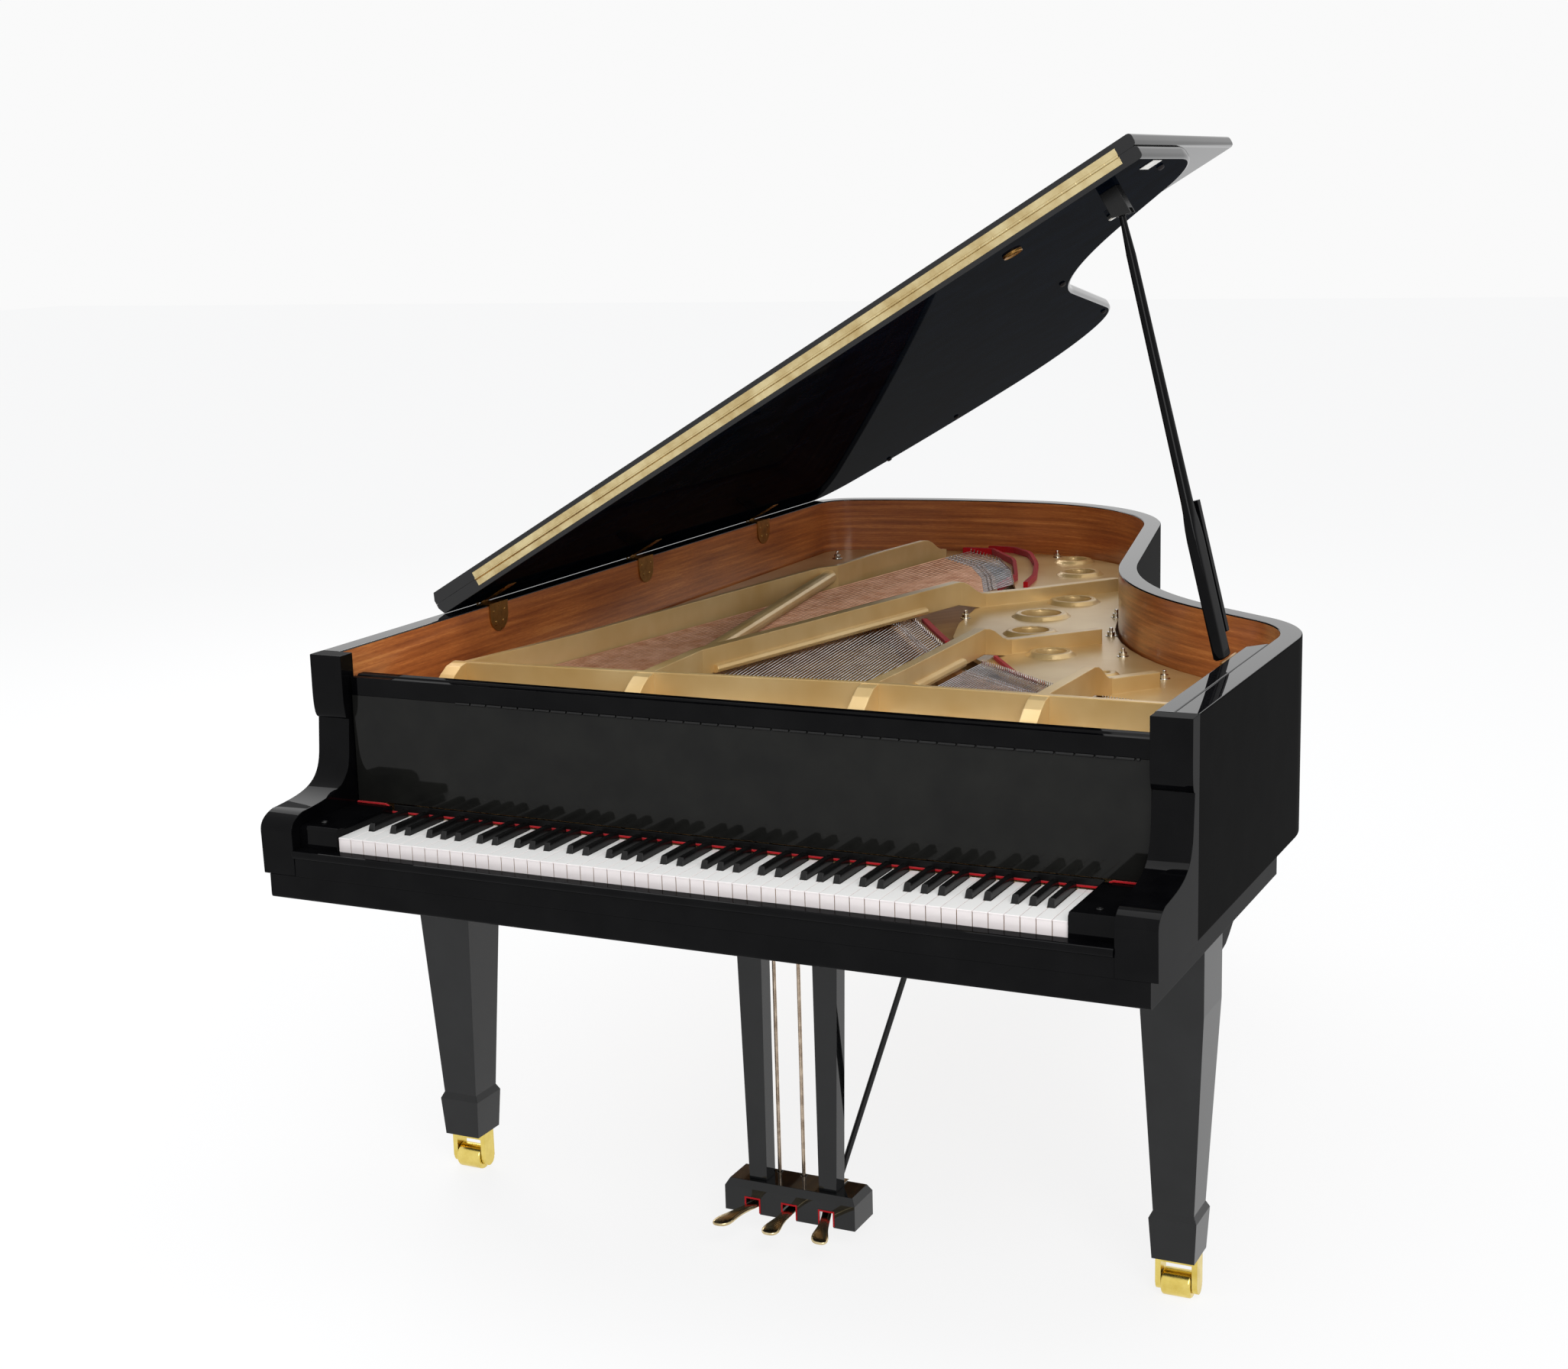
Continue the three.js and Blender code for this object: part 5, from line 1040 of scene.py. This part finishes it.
strings = {
    "tenorTop": 884.4, "bassTop": 892.0, "start": 292, "hitch": 90, "pinRow": 262, "pinStep": 21,
    "bearing": (0.3, -0.4),  # rise over the bridge, fall to the hitch pin
    "tenorBridge": [(-0.5348, 0.6732), (-0.3743, 0.6149), (-0.1765, 0.5305), (-0.0882, 0.4847),
                    (0.0267, 0.4277), (0.1003, 0.3994), (0.1537, 0.377), (0.2647, 0.3501),
                    (0.3904, 0.316), (0.4612, 0.2985), (0.5749, 0.2738), (0.8556, 0.2513)],
    "bassBridge": [(-0.4706, 0.8958), (-0.3342, 0.8523), (-0.2286, 0.789), (-0.1417, 0.7181)],
    "bridgeWidth": 29.4, "bridgeFoot": 846.8, "bridgeDrop": 0.8, "bridgeEase": 2,
    "sections": [  # wires, from and to at the pins, from and to along the long bridge
        (44, -0.281, 0.126, 0.01, 0.485), (39, 0.181, 0.5, 0.6, 0.78), (36, 0.57, 0.868, 0.852, 0.99)],
    "bass": (30, -0.84, -0.513, 0.0, 1.0),
    "steelRadius": 0.9, "coreRadius": 0.9, "windingRadius": 2.1,  # a little thick so that they show
    "windingEnds": (205, 30),  # bare core at the pins and before the bridge
    "pinDrop": 4, "bridgePins": (7, 1.4),  # along and beside a wire, at its crossing
    "agraffeLine": 418, "agraffeDrop": 6,
}


def along(path, share):  # the place at a share of a path's length
    lengths = [(Vector(b) - Vector(a)).length for a, b in zip(path, path[1:])]
    left = share * sum(lengths)
    for (a, b), length in zip(zip(path, path[1:]), lengths):
        if left <= length or (a, b) == (path[-2], path[-1]):
            return Vector(a).lerp(Vector(b), left / length)
        left -= length


def fan(section, path, top):  # wires from their pins over the bridge to their hitch pins
    count, start, end, low, high = section
    over, under = strings["bearing"]
    wires = []
    for i in range(count):
        share = i / (count - 1)
        first = Vector(((start + (end - start) * share) * rim["halfWidth"], strings["start"]))
        crossing = along(path, low + (high - low) * share)
        aim = crossing - first
        row = strings["pinRow"] + strings["pinStep"] * (i % 3)
        pin = first + aim * ((row - first.y) / aim.y)
        hitch = crossing + aim.normalized() * strings["hitch"]
        wires.append([(*pin, top), (*crossing, top + over), (*hitch, top + under)])
    return wires


def ribbon(path, width):  # an outline of even width along a path
    left, right = [], []
    for i, here in enumerate(path):
        before, after = path[max(i - 1, 0)], path[min(i + 1, len(path) - 1)]
        ahead = (Vector(after) - Vector(before)).normalized()
        left.append((here[0] - ahead.y * width / 2, here[1] + ahead.x * width / 2))
        right.append((here[0] + ahead.y * width / 2, here[1] - ahead.x * width / 2))
    return right + left[::-1]


def strung(wires, start, end):  # the part of each wire between two distances from its bridge crossing
    parts = []
    for pin, crossing, hitch in wires:
        a, b = Vector(pin), Vector(crossing)
        ahead = (b - a).normalized()
        parts.append([tuple(a + ahead * start), tuple(b - ahead * end)])
    return parts


def makeStrings(s):
    tenorPath = [inPlan(*share) for share in s["tenorBridge"]]
    bassPath = [inPlan(*share) for share in s["bassBridge"]]
    plain = [wire for section in s["sections"] for wire in fan(section, tenorPath, s["tenorTop"])]
    bass = fan(s["bass"], bassPath, s["bassTop"])
    layWires("plainWires", plain, s["steelRadius"], "steel", "case", ["treble_strings"],
             sides=5)
    layWires("bassCores", bass, s["coreRadius"], "steel", "case", sides=5)
    windings = strung(bass, *s["windingEnds"])
    layWires("bassWindings", windings, s["windingRadius"], "copper", "case", ["bass_strings"],
             sides=8)
    bm = bmesh.new()
    for path, top in ((tenorPath, s["tenorTop"]), (bassPath, s["bassTop"])):
        outline = ribbon(path, s["bridgeWidth"])
        easedBoard(bm, outline, s["bridgeFoot"], top - s["bridgeDrop"], s["bridgeEase"], steps=2)
    addPiece("bridges", bm, ["beech"], "case")
    wires = plain + bass
    scatter("tuningPins", "tuningPin", [(x, y, z - s["pinDrop"]) for (x, y, z), crossing, hitch in wires],
            "steel", "case")
    scatter("hitchPins", "hitchPin", [(x, y, z - s["pinDrop"]) for pin, crossing, (x, y, z) in wires],
            "nickel", "case")
    spread, aside = s["bridgePins"]
    onBridge = []
    for pin, crossing, hitch in wires:
        ahead = (Vector(crossing) - Vector(pin)).normalized()
        for offset in (-spread, spread):
            onBridge.append(tuple(Vector(crossing) + ahead * offset + Vector((aside, 0, 0))))
    scatter("bridgePins", "bridgePin", onBridge, "steel", "case")
    nuts = []
    for pin, crossing, hitch in plain[::3] + bass[::2]:
        aim = Vector(crossing) - Vector(pin)
        share = (s["agraffeLine"] - pin[1]) / aim.y
        nuts.append(tuple(Vector(pin) + aim * share - Vector((0, 0, s["agraffeDrop"]))))
    scatter("agraffes", "agraffe", nuts, "paleBrass", "case")


makeStrings(strings)

plateTrim = {
    # x, y and radius of each hole
    "holes": [(-92, 2099, 28), (-23, 1936, 34), (77, 1599, 37), (67, 1428, 41), (109, 1250, 36),
              (215, 1064, 29), (366, 914, 12)],
    "web": 876, "webFoot": 868.2, "holeShare": 0.98, "holeGap": 0.4, "ringWidth": 18.2,
    "ringProfile": [(0, 3), (1.6, 5.6), (5, 7.1), (8, 7.4), (12, 6), (16.2, 1.4)],  # outwards, upwards
    "ringFoot": (0.1, -1), "feltSink": 0.5, "feltEase": 2, "feltSteps": 16,
    "bolts": [(-70, 1365, 876), (213, 1461, 876), (263, 1272, 876), (345, 1088, 876), (472, 922, 876),
              (585, 800, 876), (-479, 1646, 936), (-150, 2150, 876)],
    "felts": [  # path, width, top
        ([(-381, 2145), (-309, 2150), (-207, 2017), (-130, 1819), (-118, 1668)], 9, 891),
        ([(-335, 2196), (-270, 2188), (-208, 2128), (-142, 1985), (-92, 1832), (-76, 1731)], 10, 890),
        ([(-133, 1301), (-54, 1177), (1, 1094)], 12, 883.4),
        ([(133, 994), (212, 876), (293, 801)], 8, 883.4)],
}


def makePlateTrim(t):
    bm = bmesh.new()
    for x, y, radius in t["holes"]:
        inner = radius * t["holeShare"] - t["holeGap"]
        profile = [(inner, t["webFoot"])] + [(inner + out, t["web"] + up) for out, up in t["ringProfile"]]
        profile += [(radius + t["ringWidth"], t["web"] + up) for up in t["ringFoot"]]
        turned(bm, profile, lambda a, b, c: place(x + a, y + b, c), 48, ring=True)
    addPiece("plateHoleRings", bm, ["gold"], "case", smooth=50)
    scatter("plateBolts", "plateBolt", t["bolts"], "nickel", "case")
    felts = bmesh.new()
    for path, width, top in t["felts"]:
        smooth = [tuple(along(path, i / t["feltSteps"])) for i in range(t["feltSteps"] + 1)]
        easedBoard(felts, ribbon(smooth, width), t["web"] - t["feltSink"], top, t["feltEase"], steps=2)
    addPiece("stringFelts", felts, ["redFelt"], "case")


makePlateTrim(plateTrim)
print("strings, pins and plate trim made")

# Small fittings round the keyboard

frontFittings = {  # boxes are left, right, front, back, bottom, top
    "batten": (-613, 613, 155.4, 160, 731.4, 745.4), "battenEase": 0.5,
    "felt": [(-684, 151, 744.5), (-628, 151, 744.5), (-622, 151, 742), (-617, 151, 732.5), (617, 151, 732.5),
             (622, 151, 742), (628, 151, 744.5), (684, 151, 744.5)],
    "feltDepth": 3.6, "feltHeight": 2.6, "feltEase": 0.4,
    "knobs": [(-657, 25, 744), (650, 25, 744)],
    "knobProfile": [(5.5, -1), (5.5, 1.6), (4.6, 2.4), (2, 2.2), (1, 1.4)],
    # the keyhole is a black box on the lock plate: painted shade of its opening
    "lockPlate": (-63, 20, 197, 220, 948.2, 949.2), "paintedKeyholeShade": (-29, -14, 205, 211, 948.2, 949.8),
    "lockEase": 0.3,
    "lipHinge": (-480, 668, 154.2, 927, 2.2, 30),  # left, right, y, z, radius, length of a knuckle
    "lipGroove": (1.2, 1.8, 0.6), "lipSides": 10,
}


def makeFrontFittings(f):
    bm = bmesh.new()
    depth, height = f["feltDepth"], f["feltHeight"]
    skin(bm, [[(x, y, z), (x, y + depth, z), (x, y + depth, z + height), (x, y, z + height)]
              for x, y, z in f["felt"]])
    addPiece("keyFelt", bm, ["redFelt"], "case", bevel=f["feltEase"])
    batten = bmesh.new()
    easedBox(batten, f["batten"], f["battenEase"])
    addPiece("keyBatten", batten, ["underLacquer"], "case")
    knobs = bmesh.new()
    for x, y, z in f["knobs"]:
        turned(knobs, f["knobProfile"], lambda a, b, c: place(x + a, y + b, z + c), 20)
    addPiece("keyBlockScrews", knobs, ["blackMetal"], "case")
    lock = bmesh.new()
    easedBox(lock, f["lockPlate"], f["lockEase"])
    # black box for the keyhole: painted shade of the opening
    easedBox(lock, f["paintedKeyholeShade"], f["lockEase"], coat=1)
    addPiece("lockPlate", lock, ["paleBrass", "blackMetal"], "case")
    left, right, y, z, radius, length = f["lipHinge"]
    hinge = bmesh.new()
    for start, end in knuckles(left, right, length):
        skin(hinge, [[(x, y + a, z + b) for a, b in circle(f["lipSides"], r)]
                     for x, r in knuckleStations(start, end, radius, f["lipGroove"])])
    addPiece("lipHinge", hinge, ["blackMetal"], "fall", smooth=50)


makeFrontFittings(frontFittings)

# Casters and pedals

casters = {"radius": 22, "half": 24, "ease": 4, "easeSteps": 4, "bore": 4.7, "hub": 4, "sides": 48,
           "places": {"bass": (-659, 394), "treble": (659, 394), "rear": (-290, 1950)}}


def makeRollers(c):
    radius, half, ease, bore, steps = c["radius"], c["half"], c["ease"], c["bore"], c["easeSteps"]
    turns = [math.pi / 2 * i / steps for i in range(steps + 1)]
    corner = [(radius - ease * (1 - math.sin(turn)), half - ease * (1 - math.cos(turn))) for turn in turns]
    profile = [(bore, -half), (bore + c["hub"], -half), *[(out, -along) for out, along in corner],
               *reversed(corner), (bore + c["hub"], half), (bore, half)]
    for side, (x, y) in c["places"].items():
        bm = bmesh.new()
        turned(bm, profile, lambda a, b, across: place(x + across, y + a, radius + b), c["sides"], ring=True)
        addPiece(f"roller{side.capitalize()}", bm, ["casterBrass"], f"roller_{side}",
                 [f"caster_roller_{side}"])


makeRollers(casters)

pedals = {
    "x": 14, "front": 320, "rodY": 380, "rear": 388, "tip": 236, "z": 60, "spacing": 68, "rodSpacing": 45,
    "splay": 24, "thickness": 9, "toeHalf": 15.5, "sides": 16, "roundness": (0.6, 0.7),
    "stations": [  # share of the length, width, lift, height
        (0, 0.5, 0, 0.9), (0.02, 0.56, 0, 1), (0.3, 0.55, 0, 1), (0.55, 0.55, 0, 1), (0.68, 0.62, 0, 1),
        (0.78, 0.8, -0.02, 1.05), (0.86, 0.98, -0.14, 1.15), (0.92, 1.02, -0.26, 1.1),
        (0.965, 0.88, -0.34, 0.92), (0.99, 0.6, -0.4, 0.62), (1, 0.3, -0.43, 0.34)],
    "slotHalf": 12, "slotTop": 71, "feltWidth": 2.6, "feltFoot": 47, "feltFaces": (0.9, 0.05),
}


def pedalX(side, y):  # straight to its rod behind the slot, splayed in front of it
    p = pedals
    slot = p["x"] + side * p["spacing"]
    if y > p["front"]:
        share = (y - p["front"]) / (p["rodY"] - p["front"])
        return slot + (p["rodSpacing"] - p["spacing"]) * side * share
    return slot + side * p["splay"] * (p["front"] - y) / (p["front"] - p["tip"])


def makePedals(p):
    felt = bmesh.new()
    acrossPower, upPower = p["roundness"]
    for side, name in ((-1, "left"), (0, "middle"), (1, "right")):
        bm = bmesh.new()
        loops = []
        for share, width, lift, height in p["stations"]:
            y = p["rear"] + (p["tip"] - p["rear"]) * share
            x, z = pedalX(side, y), p["z"] + lift * p["thickness"]
            across, up = width * p["toeHalf"], height * p["thickness"] / 2
            loops.append([(x + across * squareOff(c, acrossPower), y, z + up * squareOff(s, upPower))
                          for c, s in circle(p["sides"])])
        skin(bm, loops)
        addPiece(f"pedal{name.capitalize()}", bm, ["pedalBrass"], f"pedal_{name}",
                 [f"pedal_{name}"], subdivide=1, smooth=60)
        x, foot, top, width = pedalX(side, p["front"]), p["feltFoot"], p["slotTop"], p["feltWidth"]
        left, right = x - p["slotHalf"], x + p["slotHalf"]
        outline = [(left - width, foot), (left - width, top + width), (right + width, top + width),
                   (right + width, foot), (right, foot), (right, top), (left, top), (left, foot)]
        skin(felt, [[(a, p["front"] - ahead, b) for a, b in outline] for ahead in p["feltFaces"]])
    addPiece("pedalFelts", felt, ["redFelt"], "case")


makePedals(pedals)

lyreBracket = {  # boxes are left, right, front, back, bottom, top
    "foot": (70, 92, 372, 392, 100.3, 101.8), "ear": (70, 72, 376, 391, 100.3, 116), "ease": 0.3,
}


def makeLyreBracket(b):  # small nickel angle that holds the brace's foot
    bm = bmesh.new()
    for box in (b["foot"], b["ear"]):
        easedBox(bm, box, b["ease"])
    addPiece("braceBracket", bm, ["nickel"], "case")


makeLyreBracket(lyreBracket)
print("casters, pedals and fittings made")
